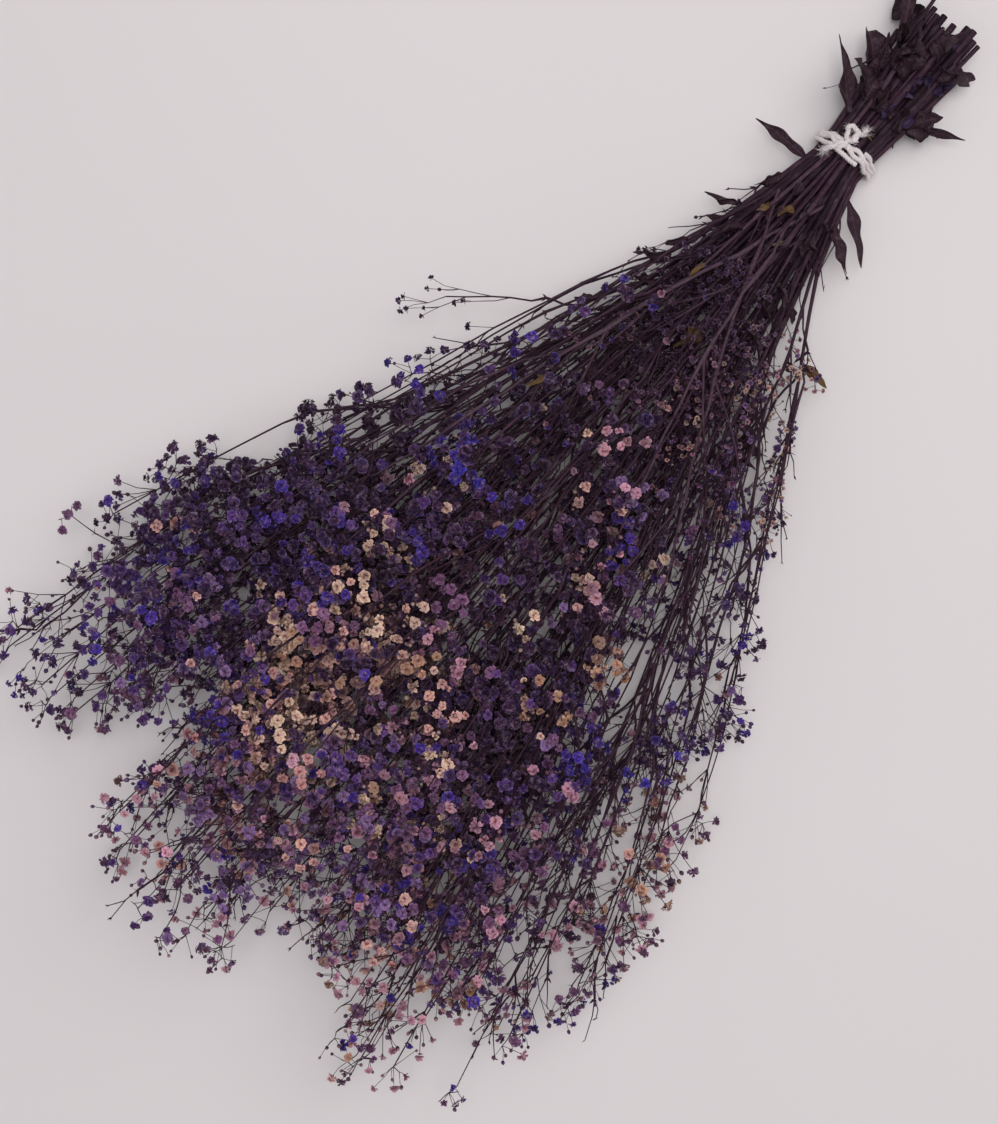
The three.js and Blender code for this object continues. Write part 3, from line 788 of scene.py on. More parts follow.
def forked(sprig, root, way, palette):
    """A fine twig that forks in three on its way forward, with a small floret or bud at each tip."""
    rng = sprig.rng
    out = unit(way + aside(way, rng.choice((0, math.pi)) + rng.normal(0, 0.4), rng.uniform(0.15, 0.4)))
    elbow = root + out * rng.uniform(10, 18)
    sprig.stalk(root, elbow, [0.34, 0.28, 0.26], 0.5)
    for _ in range(3):
        turn = unit(out * 0.6 + way * 0.6 + rng.normal(0, 0.26, 3))
        tip = elbow + turn * rng.uniform(8, 19)
        sprig.stalk(elbow, tip, FINE_STALK, 0.5)
        sprig.bloom(tip, turn, rng.uniform(0.6, 0.9), SMALL if rng.uniform(0, 1) < 0.6 else BUDS,
                    pick_dye(palette, rng))


def splay(sprig, root, way, palette):
    """Long stalks that spread from a joint near a tip, each with a floret, and a bud on some of them."""
    rng = sprig.rng
    side = unit(np.cross(way, UP))
    count = int(rng.integers(3, 6))
    for lean in np.linspace(-0.85, 0.85, count) + rng.normal(0, 0.12, count):
        out = unit(way + side * lean + UP * rng.normal(0, 0.25))
        tip = root + out * rng.uniform(15, 30)
        if tip[2] < 3 or abs(tip[0]) > WIDEST or not inside_fan(tip - out * 13):
            continue
        bow = (root + tip) / 2 - side * lean * 1.6 + rng.normal(0, 0.5, 3)
        sprig.line([root, bow, tip - out * 1.6], [0.4, 0.28, 0.24])
        opened = rng.uniform(0, 1)
        kinds = sprig.open_kinds if opened < 0.5 else HALF_OPEN if opened < 0.8 else BUDS
        sprig.bloom(tip, out, rng.uniform(0.95, 1.3), kinds, pick_dye(palette, rng))
        if rng.uniform(0, 1) < 0.5:
            turn = unit(out + side * rng.choice((-0.7, 0.7)) + rng.normal(0, 0.2, 3))
            end = bow + turn * rng.uniform(6, 12)
            if end[2] > 2:
                sprig.stalk(bow, end, FINE_STALK, 0.3)
                sprig.bloom(end, unit(end - bow), rng.uniform(0.8, 1.15), BUDS, pick_dye(palette, rng))


def spur(sprig, root, way):
    """A bare, jointed side twig that forks into a V, dry and without florets."""
    rng = sprig.rng
    out = unit(way * rng.uniform(1.9, 4) + aside(way, rng.uniform(0, 2 * math.pi), 1))
    joint = root + out * rng.uniform(14, 32)
    if joint[2] < 2:
        return
    sprig.stalk(root, joint, [0.6, 0.48, 0.7], 1.2)
    across = unit(np.cross(out, UP))
    for half in (1, -1):
        sprig.bract(joint, out + across * half, rng.uniform(0.9, 1.8))
        fork = unit(out * 2 + across * half * rng.uniform(0.3, 0.8) + rng.normal(0, 0.2, 3))
        tip = joint + fork * rng.uniform(9, 24)
        sprig.stalk(joint, tip, [0.46, 0.36, 0.3], 0.9)
        for _ in range(3):
            sprig.bract(tip, fork + rng.normal(0, 0.6, 3), rng.uniform(0.5, 1.1))


def clump(sprig, root, way, palette):
    """A few small florets pressed together on a short stalk, their colours darkened deep in the bunch as
    painted shade, less so far out.
    """
    rng = sprig.rng
    if looseness(root) > 0.5:
        return
    painted_light = float(np.interp(math.hypot(root[0], root[1]), [370, 450], [0, 0.5]))
    out = unit(way * rng.uniform(0.1, 1.2) + aside(way, rng.uniform(0, 2 * math.pi), 1))
    middle = root + out * rng.uniform(4, 13)
    middle[2] = max(middle[2], 4)
    sprig.line([root, middle], [0.3, 0.22])
    for _ in range(int(rng.integers(3, 6))):
        turn = unit(rng.normal(0, 1, 3) + UP * 0.3)
        # Painted shade: deep in the bunch the florets take the dark dyes and are held dark, less so far out
        tint = pick_dye(palette if rng.uniform(0, 1) < 0.16 + 1.6 * painted_light else DEEP_SHADE_DYES, rng)
        tint = tint * min(1, (0.2 + painted_light) / max(tint)) * rng.uniform(0.5 + painted_light, 1) + 0.25 * PLUM
        place = middle + turn * rng.uniform(1.6, 5)
        sprig.bloom(place, unit(turn + UP * 0.6), rng.uniform(0.9, 1.35), SMALL, tint)


def shoot(sprig, root, way, length, share):
    """A side shoot with a small cyme of its own and a few single florets below it."""
    rng = sprig.rng
    out = unit(way * rng.uniform(0.9, 1.7) + aside(way, rng.uniform(-0.5, math.pi + 0.5), 1)
               * rng.uniform(0.5, 1))
    tip = root + out * length
    tip[2] = max(tip[2], 5)
    if not inside_fan(tip - out * 3):
        return
    palette = patch_at(tip, rng)
    middle = (root + tip) / 2 + aside(out, rng.uniform(0, 6.28), length * 0.1)
    line = smooth_line([root, middle, tip - out * 4], 6)
    sprig.line(line, [0.42, 0.34, 0.36, 0.46, 0.32, 0.3])
    sprig.bract_pair(line[3], out, 0.3, (0.6, 1.3))
    side_stalks(sprig, line, palette, int(rng.integers(0, 3)))
    cyme(sprig, line[-1], tip, unit(out * 0.5 + UP * 0.8), rng.uniform(4.2, 6.6), out, palette, share)


def companion(sprig, spray, gap=1, bare=False):
    """A slim stem through the gap beside a spray's own stem at the tie, with cymes or, if bare, small
    florets and buds in colours darkened as painted shade.

    In every other column of the lower rows it is a long branch of that stem instead.
    """
    rng = sprig.rng
    branch = spray["row"] <= 4 and spray["column"] % 2 and not bare
    seat = spray["path"][1] + np.array([gap * STEM_PITCH / 2, 0, STEM_PITCH * 0.5 / math.sqrt(3)])
    if math.hypot(seat[0], seat[2] - TIE_HEIGHT) > BUNDLE_HALF:
        return
    angle = np.clip(FAN_CENTRE + FAN_HALF * seat[0] / BUNDLE_HALF + rng.normal(0, 8), *SLIM_EDGES)
    angle = min(angle, SLIM_CROWDING + 0.3 * (angle - SLIM_CROWDING))
    if bare and angle > SLIM_BARE:
        return
    turn = math.radians(angle)
    reach = reach_at(angle) * rng.uniform(0.6, 0.93)
    row = (seat[2] - TIE_HEIGHT) / ROW_PITCH + MIDDLE_ROW
    high = TIP_FLOOR + 0.85 * FAN_HEIGHT * row / (2 * MIDDLE_ROW)
    butt = seat + np.array([seat[0] * 0.5, rng.uniform(45, 84), (seat[2] - TIE_HEIGHT) * 0.12])
    leave = turn * rng.uniform(0.4, 1.2)
    bow = np.array([seat[0] + 0.38 * reach * math.sin(leave), seat[1] - 0.38 * reach,
                    seat[2] + 0.55 * (high - seat[2])])
    tip = np.array([reach * math.sin(turn), -reach * math.cos(turn), high])
    along = np.linspace(0, 1, SLIM_POINTS)
    if branch:
        root = sprig.spine(rng.uniform(0.24, 0.38))
        line = smooth_line([root, (root * 0.6 + tip * 0.4) + [0, 0, 5], tip], SLIM_POINTS)
        line[1:-1] += rng.normal(0, 0.6, (SLIM_POINTS - 2, 3))
        radii = np.interp(along, [0, 0.5, 1], [0.74, 0.6, 0.34])
    else:
        line = smooth_line([butt, seat, seat - [0, 22, 0], bow, tip], SLIM_POINTS)
        line[6:-1] += rng.normal(0, 0.7, (SLIM_POINTS - 7, 3))
        radii = np.interp(along, [0, 0.2, 0.4, 1], [1.0, 0.8, 0.85, 0.34])
    radii[13::3] *= 1.4
    sprig.line(line, radii)
    for k in range(3 if branch else 11, SLIM_POINTS - 1, 2):
        if rng.uniform(0, 1) < 0.7 * fullness(line[k]):
            clump(sprig, line[k], unit(line[k] - line[k - 1]), patch_at(line[k], rng))
    if bare:
        # Painted shade: the bare stem's forks take the dark deep dyes and its buds half their dye
        for k in range(15, SLIM_POINTS):
            way = unit(line[k] - line[k - 1])
            if k % 2:
                forked(sprig, line[k], way, DEEP_SHADE_DYES)
                continue
            out = unit(way * rng.uniform(1, 2.4) + aside(way, rng.uniform(0, 2 * math.pi), 1))
            end = line[k] + out * rng.uniform(10, 26)
            if end[2] > 3:
                sprig.stalk(line[k], end, [0.42, 0.34, 0.26], 1.0)
                sprig.bloom(end, out, rng.uniform(0.7, 1.0), BUDS, 0.5 * pick_dye(patch_at(end, rng), rng))
        return
    way = unit(line[-1] - line[-2])
    cyme(sprig, tip, tip + way * 5, unit(way * 0.6 + UP), 6.5, way, patch_at(tip, rng), 0.9)
    if looseness(tip) > 0.3:
        splay(sprig, line[-2], way, patch_at(tip, rng))
    for k in range(13, SLIM_POINTS - 1, 3):
        way = unit(line[k] - line[k - 1])
        sprig.bract_pair(line[k], way, 0.5, (0.7, 1.6))
        if rng.uniform(0, 1) < 0.8 * fullness(line[k]):
            shoot(sprig, line[k], way, rng.uniform(20, 44), 0.8)


def drifter(sprig):
    """A stem that lies across the others on top of the bunch, with swollen joints and forks."""
    rng = sprig.rng
    start = sprig.spine(rng.uniform(0.02, 0.12)) + np.array([0, 0, 1.8])
    angle = np.clip(math.degrees(math.atan2(start[0], -start[1])) * -0.3 + rng.normal(0, 9), -15, 17)
    turn = math.radians(angle)
    length = rng.uniform(210, 330)
    end = np.array([math.sin(turn) * length, -math.cos(turn) * length, 0])
    end[2] = min(start[2] + 52, FAN_TOP - 4)
    middle = (start + end) / 2 + np.array([rng.normal(0, 10), 0, 14])
    line = smooth_line([start, middle, end], 15)
    line[1:-1] += rng.normal(0, 0.8, (13, 3))
    line[:, 2] = np.minimum(line[:, 2], FAN_TOP)
    radii = np.interp(np.linspace(0, 1, 15), [0, 0.5, 1], [1.0, 0.86, 0.5])
    radii[3::4] *= 1.5
    tone = rng.uniform(0.9, 1.35)
    sprig.line(line, radii, tone)
    for k in range(3, 15, 4):
        way = unit(line[k] - line[k - 1])
        sprig.bract_pair(line[k], way, 0.7, (1.2, 2.2))
        out = unit(way * 1.8 + unit(np.cross(way, UP)) * rng.choice((1, -1)))
        tip = line[k] + out * rng.uniform(40, 70)
        branch = smooth_line([line[k], (line[k] + tip) / 2 + rng.normal(0, 2, 3), tip], 7)
        branch[:, 2] = np.minimum(branch[:, 2], FAN_TOP)
        sprig.line(branch, [0.8, 0.62, 0.54, 0.7, 0.5, 0.42, 0.34], tone)
        if fullness(tip) > 0.5:
            top = branch[-1]
            cyme(sprig, top, top + out * 5, unit(out * 0.5 + UP), 6, out, patch_at(tip, rng))
        else:
            for at in (3, 4, 6):
                forked(sprig, branch[at], out, patch_at(tip, rng))


# Where lacy sprigs lie below the heads: the middle of each spot in plan, its radius, and its dyes
LACE = [
    ((24, -152), 36, {"mauve": 4, "pink": 4, "plum": 2, "peach": 1}),
    ((62, -124), 32, {"pink": 4, "peach": 1.5, "cream": 4, "lilac": 5, "slate": 1}),
    ((-3, -92), 13, {"violet": 2, "plum": 3, "mauve": 2}),
    ((6, -122), 16, {"violet": 3, "mauve": 2, "plum": 2}),
    ((80, -162), 30, {"slate": 4, "plum": 2, "pink": 1, "lilac": 3, "cream": 1}),
]
# Bare twigs that the picture shows one by one, by row and column: the root as a share of the stem
# above the tie or of the length below it, steps from there, and radii
EXTRAS = {
    (3, 0): [([(0.19, 0), (-7, -5, 3), (-13, -17, 5), (-13, -28, 3)], [0.42, 0.34, 0.3, 0.24])],
    (4, 0): [([(0, 0.56), (-6, -9, 4), (-13, -24, 6)], [0.6, 0.5, 0.4]),
             ([(0, 0.56), (-13, -24, 6), (-12, -32, 3), (-16, -38, 1)], [0.3, 0.26, 0.2, 0.16])],
}


def dress(spray, place):
    """All the fine growth of one spray."""
    rng = np.random.default_rng(SEED + place)
    tone = rng.choice((0, 0.2, 0.7, 1.1, 1.5)) if spray["row"] >= 5 else rng.uniform(0, 1)
    sprig = Sprig(rng, tone, FLORETS if spray["row"] >= 3 else (*SMALL, *SMALL, 0, 1))
    joints = stem_line(sprig, spray)
    seen = 0.45 + 0.55 * min(1, spray["row"] / 4)

    def flower(head, line):
        centre = head["centre"]
        palette = patch_at(centre, rng)
        way = unit(line[-1] - line[-2])
        share = seen * (0.22 + 0.78 * fullness(centre))
        if looseness(centre) > 0.3:
            sprig.bract(line[-2], way, 1.5)
            splay(sprig, line[-2], way, palette)
            share = max(0.8 * share, 0.56 if looseness(centre) > 0.95 else 0)
        cyme(sprig, line[-1], centre, head["axis"], head["radius"], way, palette, share)
        side_stalks(sprig, line, palette, int(rng.integers(0, 2 + int(4 * looseness(centre)))))

    flower(spray["head"], np.array([*spray["points"][-9:-1], spray["head"]["neck"]]))
    curves = {}
    for piece in spray["twigs"]:
        head = piece["head"]
        first_order = "start" in piece
        stray = piece.get("start") == STRAY["start"]
        if first_order:
            root = sprig.spine(piece["start"])
            points = [root, *piece["points"][1:]]
            radii = np.linspace(0.74, 0.36, 10)
        else:
            parent = curves[id(piece["branch"])]
            near = piece["points"][0]
            root = parent[np.argmin(np.linalg.norm(parent - near, axis=1))]
            points = [root, near + (head["neck"] - near) * 0.4 + rng.normal(0, 1.2, 3), head["neck"]]
            radii = np.linspace(0.46, 0.3, 10)
        curve = smooth_line(points, 10)
        curve[1:-1] += rng.normal(0, 0.7, (8, 3))
        if not stray:
            curves[id(piece)] = curve
        radii[0] *= 1.3
        radii[4] *= 1.5
        sprig.line(curve, radii)
        sprig.bract_pair(curve[4], unit(curve[-1] - curve[-2]), 0.3, (0.6, 1.4), 0.9)
        if stray:
            for k in (6, 7, 8, 9):
                forked(sprig, curve[k], unit(curve[k] - curve[k - 1]), {"indigo": 4, "blue": 2, "slate": 2})
            continue
        flower(head, curve)
        for k in ((3, 5, 7) if first_order else (5,)):
            if rng.uniform(0, 1) < (0.3 + 0.6 * seen) * fullness(curve[k]):
                shoot(sprig, curve[k], unit(curve[k] - curve[k - 1]), rng.uniform(14, 34), seen)
    for point, way, side, u in joints:
        if u > 0.3 and rng.uniform(0, 1) < 0.9 * seen * fullness(point):
            shoot(sprig, point, unit(way * 1.5 + side), rng.uniform(22, 48), seen)
    top_rows = spray["row"] >= 5
    for u in np.linspace(CUT_END_AT, 0.96, 30) if top_rows else np.linspace(0.05, 0.7, 16):
        if u < 0:
            end, seat = spray["path"][:2]
            point, way = seat + (end - seat) * u / CUT_END_AT, unit(end - seat)
        else:
            point, way = sprig.spine(u), direction_at(spray["points"], u)
        if top_rows and u > 0.42 and rng.uniform(0, 1) < 0.62 * fullness(point):
            shoot(sprig, point, way, rng.uniform(16, 34), 1)
        for middle, radius, palette in LACE:
            near = nearness(point, middle, radius)
            for _ in range(4 if top_rows else 2):
                if rng.uniform(0, 1) < 0.6 * near * seen:
                    lace(sprig, point, way, palette)
    for u in np.linspace(0.05, 0.95, 18):
        point = sprig.spine(u)
        if rng.uniform(0, 1) < 0.12 + 0.5 * (1 - fullness(point)):
            spur(sprig, point, direction_at(spray["points"], u))
    for u in np.linspace(0.36, 0.97, 23):
        point = sprig.spine(u)
        if rng.uniform(0, 1) < fullness(point):
            clump(sprig, point, direction_at(spray["points"], u), patch_at(point, rng))
    for curve in curves.values():
        for k in range(2, 10, 2):
            if rng.uniform(0, 1) < (0.4 + 0.4 * seen) * fullness(curve[k]):
                clump(sprig, curve[k], unit(curve[k] - curve[k - 1]), patch_at(curve[k], rng))
    companion(sprig, spray)
    if spray["row"] <= 4 and spray["column"] % 2:
        companion(sprig, spray, -1, True)
    if spray["row"] == 5 and spray["column"] % 2 == 0:
        drifter(sprig)
    for (root, *steps), radii in EXTRAS.get((spray["row"], spray["column"]), []):
        base = sprig.spine(root[0]) if root[0] else below_tie(spray, root[1])
        line = smooth_line([base, *[base + np.array(step) for step in steps]], 3 * len(steps) + 1)
        sprig.line(line, np.interp(np.linspace(0, 1, len(line)), np.linspace(0, 1, len(radii)), radii))
        for k in range(3, len(line), 3):
            sprig.bract(line[k], line[k] - line[k - 1] + rng.normal(0, 0.5, 3), rng.uniform(0.7, 1.3))
    return sprig


# Meshes

def mm(points, shift):
    """Places in the growth, in millimetres, as places in the scene."""
    return (np.asarray(points, float) + shift) * 0.001


def attribute(mesh, name, kind, values):
    """A value on every point of a mesh, under a name that the node trees and finishes read."""
    layer = mesh.attributes.new(name, kind, "POINT")
    number = {"INT": np.int32, "BOOLEAN": bool}.get(kind, np.float32)
    field = "vector" if kind == "FLOAT_VECTOR" else "value"
    layer.data.foreach_set(field, np.asarray(values, number).ravel())


def shape_object(name, verts, faces, smooth=True, edges=()):
    mesh = bpy.data.meshes.new(name)
    mesh.from_pydata([tuple(v) for v in verts], list(edges), [tuple(f) for f in faces])
    mesh.update()
    if smooth:
        mesh.shade_smooth()
    return bpy.data.objects.new(name, mesh)


# The points of a petal past its foot: how far out each row lies, then for each point the side that it is
# on, its share of the width, and how far it runs ahead
PETAL_ROWS = [
    (0.5, [(-1, 0.40, 0), (1, 0.40, 0)]),
    (0.93, [(-1, 0.46, -0.1), (0, 0, 0.07), (1, 0.46, -0.1)]),
]


def petal(held, place, bearing, lean, curl, length, width, layer, rng):
    """One short round petal, cupped and crumpled: a foot, a middle and a rim of three points."""
    verts, faces, reach, tone = held
    out = np.array([math.cos(bearing), math.sin(bearing), 0])
    across = np.array([-math.sin(bearing), math.cos(bearing), 0])
    b, done, here = len(verts), 0, np.array(place, float) + out * 0.2
    verts.append(here)
    reach.append(0.0)
    for far, points in PETAL_ROWS:
        angle = lean + curl * far
        along = out * math.sin(angle) + UP * math.cos(angle)
        face = UP * math.sin(angle) - out * math.cos(angle)
        here = here + along * (far - done) * length
        done = far
        for side, half, ahead in points:
            ahead += rng.uniform(-0.15, 0.15) * far
            lift = rng.uniform(-0.3, 0.3) * far + (0.1 if side else -0.06)
            verts.append(here + across * side * half * width + along * ahead * length + face * lift * width)
            reach.append(far)
    faces += [(b, b + 1, b + 2), (b + 1, b + 3, b + 4), (b + 1, b + 4, b + 2), (b + 2, b + 4, b + 5)]
    tone += [layer + rng.uniform(-0.2, 0.2)] * 6


def plain_petal(held, place, bearing, lean, length, width, layer, rng):
    """One petal of a small floret: a leaf of two faces folded along its middle."""
    verts, faces, reach, tone = held
    out = np.array([math.cos(bearing), math.sin(bearing), 0])
    across = np.array([-math.sin(bearing), math.cos(bearing), 0])
    along = out * math.sin(lean) + UP * math.cos(lean)
    face = UP * math.sin(lean) - out * math.cos(lean)
    b, foot = len(verts), np.array(place, float) + out * 0.2
    verts.append(foot)
    for side in (-1, 1):
        verts.append(foot + along * length * rng.uniform(0.6, 0.85) + across * side * width * 0.5
                     + face * width * rng.uniform(0.0, 0.3))
    verts.append(foot + along * length)
    faces += [(b, b + 1, b + 3), (b, b + 3, b + 2)]
    reach += [0.0, 0.9, 0.9, 1.0]
    tone += [layer + rng.uniform(-0.2, 0.2)] * 4


def ring_of(held, heights, radii, sides, closed_top=False, ribs=0.0):
    """A cup or a bud about +Z, from its foot up."""
    verts, faces, reach, tone = held
    base = len(verts)
    for row, (z, r) in enumerate(zip(heights, radii)):
        for k in range(sides):
            turn = 2 * math.pi * k / sides
            wide = r * (1 + ribs * (-1) ** k)
            verts.append(np.array([wide * math.cos(turn), wide * math.sin(turn), z]))
            reach.append(row / max(len(heights) - 1, 1))
            tone.append(0.5)
    for row in range(len(heights) - 1):
        for k in range(sides):
            a, b = base + row * sides + k, base + row * sides + (k + 1) % sides
            faces.append((a, b, b + sides, a + sides))
    if closed_top:
        verts.append(np.array([0, 0, heights[-1] + radii[-1] * 0.8]))
        reach.append(1.0)
        tone.append(0.5)
        top = len(verts) - 1
        last = base + (len(heights) - 1) * sides
        faces += [(last + k, last + (k + 1) % sides, top) for k in range(sides)]
        faces.append(tuple(base + k for k in reversed(range(sides))))


# The whorls of petals in each shape, from the outer one in: how many petals, the height of their foot,
# their lean, curl, length and width, and their tone
WHORLS = {
    "floret": [(7, -1.1, 1.15, 0.7, 2.9, 2.6, 0.9), (6, -0.5, 0.75, 1.0, 2.6, 2.4, 0.7),
               (3, 0.1, 0.4, 1.4, 2.2, 2.4, 0.55), (2, 0.6, 0.1, 1.7, 1.5, 1.9, 0.4)],
    "half": [(5, -1.1, 0.8, 0.2, 2.6, 2.3, 0.85), (4, -0.5, 0.3, 0.6, 2.2, 2.0, 0.5)],
    "bud": [],
    "small": [(6, -0.9, 1.3, 0, 3.0, 2.9, 0.85), (5, -0.2, 0.8, 0, 2.6, 2.6, 0.65),
              (3, 0.3, 0.25, 0, 2.2, 2.2, 0.5)],
}
FULLER_HEART = (4, 0.5, 0.25, 1.6, 1.7, 1.9, 0.45)
BLOOM_SHAPES = [
    ("floret", 11), ("floret", 12), ("floret", 13), ("floret", 14), ("half", 15), ("half", 16),
    ("bud", 17), ("bud", 18), ("small", 19), ("small", 20),
]


def bloom_shape(kind, seed, name):
    """A floret, a half-open floret or a bud, its middle at the origin and its face to +Z."""
    rng = np.random.default_rng(seed)
    held = verts, faces, reach, tone = [], [], [], []
    if kind == "bud":
        slim = rng.uniform(0.92, 1.08)
        ring_of(held, (-1.4, -0.6, 0.5), (0.45, 1.12 * slim, 0.94 * slim), 6, True, 0.05)
    elif kind != "small":
        ring_of(held, (-2.1, -0.8), (0.36, 1.0), 5)
    green = len(verts)
    whorls = WHORLS[kind]
    if kind == "floret" and seed % 2:
        whorls = [*whorls[:3], FULLER_HEART]
    for number, root, lean, curl, length, width, layer in whorls:
        start = rng.uniform(0, 2 * math.pi)
        for k in range(number):
            bearing = start + 2 * math.pi * k / number
            if kind == "small":
                plain_petal(held, (0, 0, root), bearing + rng.normal(0, 0.2), lean + rng.normal(0, 0.22),
                            length * rng.uniform(0.8, 1.1), width, layer, rng)
                continue
            petal(held, (0, 0, root), bearing + rng.normal(0, 0.18), lean + rng.normal(0, 0.2),
                  curl + rng.normal(0, 0.3), length * rng.uniform(0.82, 1.1),
                  width * rng.uniform(0.8, 1.1), layer, rng)
    made = shape_object(name, np.array(verts) * 0.001, faces)
    attribute(made.data, "reach", "FLOAT", reach)
    attribute(made.data, "tone", "FLOAT", tone)
    attribute(made.data, "sepal", "FLOAT", [1.0 if k < green else 0.0 for k in range(len(verts))])
    return made


def bract_shape():
    """A small pointed bract, folded along its middle, its foot at the origin and its point to +Z."""
    verts = [(0, 0, -0.3), (-0.5, 0.1, 0.7), (0, -0.18, 0.7), (0.5, 0.1, 0.7),
             (-0.34, 0.3, 1.6), (0, 0.12, 1.6), (0.34, 0.3, 1.6), (0, 0.62, 2.6)]
    faces = [(0, 2, 1), (0, 3, 2), (1, 2, 5, 4), (2, 3, 6, 5), (4, 5, 7), (5, 6, 7)]
    return shape_object("bract", np.array(verts) * 0.001, faces)


# Geometry node trees

def node_tree(name, inputs):
    tree = bpy.data.node_groups.new(name, "GeometryNodeTree")
    tree.interface.new_socket("Geometry", in_out="INPUT", socket_type="NodeSocketGeometry")
    for label, kind, value in inputs:
        made = tree.interface.new_socket(label, in_out="INPUT", socket_type=kind)
        if value is not None:
            made.default_value = value
    tree.interface.new_socket("Geometry", in_out="OUTPUT", socket_type="NodeSocketGeometry")
    return tree


class Wiring:
    """Short ways to place and join nodes in a tree."""

    def __init__(self, tree):
        self.tree = tree
        self.column = 0

    def node(self, kind, inputs=(), **settings):
        made = self.tree.nodes.new(kind)
        made.location = (self.column * 190, -60 * (self.column % 4))
        self.column += 1
        for key, value in settings.items():
            setattr(made, key, value)
        for key, value in dict(inputs).items():
            socket = made.inputs[key]
            if isinstance(value, bpy.types.NodeSocket):
                self.tree.links.new(value, socket)
            else:
                socket.default_value = value
        return made

    def named(self, name, kind="FLOAT"):
        made = self.node("GeometryNodeInputNamedAttribute", {"Name": name}, data_type=kind)
        return next(s for s in made.outputs if s.enabled and s.name == "Attribute")

    def math(self, operation, a, b=0.0, c=None):
        values = {0: a, 1: b} if c is None else {0: a, 1: b, 2: c}
        return self.node("ShaderNodeMath", values, operation=operation).outputs[0]


def end_tree(w, shape, finish):
    """The end of every tree: plain mesh, its finish, and out."""
    plain = w.node("GeometryNodeRealizeInstances", {"Geometry": shape})
    finished = w.node("GeometryNodeSetMaterial", {"Geometry": plain.outputs[0], "Material": finish})
    w.node("NodeGroupOutput", {"Geometry": finished.outputs[0]})


def blooms_tree():
    """Florets and buds on points: each point says which shape it carries, how it is turned and how big."""
    tree = node_tree("Blooms on pedicels", [
        ("Shapes", "NodeSocketCollection", None), ("Bloom Size", "NodeSocketFloat", 1.0),
        ("Petal Finish", "NodeSocketMaterial", None),
    ])
    w = Wiring(tree)
    given = w.node("NodeGroupInput").outputs
    shapes = w.node("GeometryNodeCollectionInfo", {
        "Collection": given["Shapes"], "Separate Children": True, "Reset Children": True,
    })
    size = w.math("MULTIPLY", w.named("size"), given["Bloom Size"])
    blooms = w.node("GeometryNodeInstanceOnPoints", {
        "Points": given["Geometry"], "Instance": shapes.outputs[0], "Pick Instance": True,
        "Instance Index": w.named("kind", "INT"), "Rotation": w.named("turn", "QUATERNION"), "Scale": size,
    })
    end_tree(w, blooms.outputs[0], given["Petal Finish"])
    return tree


def stems_tree():
    """Round stems and twigs along drawn lines, with bracts on the loose points."""
    tree = node_tree("Stems along lines", [
        ("Stem Sides", "NodeSocketInt", 9), ("Twig Sides", "NodeSocketInt", 3),
        ("Twig Below", "NodeSocketFloat", 0.0005), ("Bract", "NodeSocketObject", None),
        ("Bract Size", "NodeSocketFloat", 1.0), ("Stem Finish", "NodeSocketMaterial", None),
    ])
    w = Wiring(tree)
    given = w.node("NodeGroupInput").outputs
    curve = w.node("GeometryNodeMeshToCurve", {"Mesh": given["Geometry"]})
    thick = w.node("FunctionNodeCompare", {"A": w.named("girth"), "B": given["Twig Below"]},
                   data_type="FLOAT", operation="GREATER_THAN")
    halves = w.node("GeometryNodeSeparateGeometry", {
        "Geometry": curve.outputs[0], "Selection": thick.outputs[0],
    }, domain="CURVE")
    parts = []
    for half, sides in ((0, given["Stem Sides"]), (1, given["Twig Sides"])):
        section = w.node("GeometryNodeCurvePrimitiveCircle", {"Resolution": sides, "Radius": 1.0})
        skin = w.node("GeometryNodeCurveToMesh", {
            "Curve": halves.outputs[half], "Profile Curve": section.outputs[0], "Fill Caps": True,
            "Scale": w.named("girth"),
        })
        parts.append(w.node("GeometryNodeSetShadeSmooth", {"Geometry": skin.outputs[0]}).outputs[0])
    bract = w.node("GeometryNodeObjectInfo", {"Object": given["Bract"]})
    bracts = w.node("GeometryNodeInstanceOnPoints", {
        "Points": given["Geometry"], "Selection": w.named("bract", "BOOLEAN"),
        "Instance": bract.outputs["Geometry"], "Rotation": w.named("turn", "QUATERNION"),
        "Scale": w.math("MULTIPLY", w.named("size"), given["Bract Size"]),
    })
    joined = w.node("GeometryNodeJoinGeometry")
    for part in (*parts, bracts.outputs[0]):
        tree.links.new(part, joined.inputs[0])
    end_tree(w, joined.outputs[0], given["Stem Finish"])
    return tree


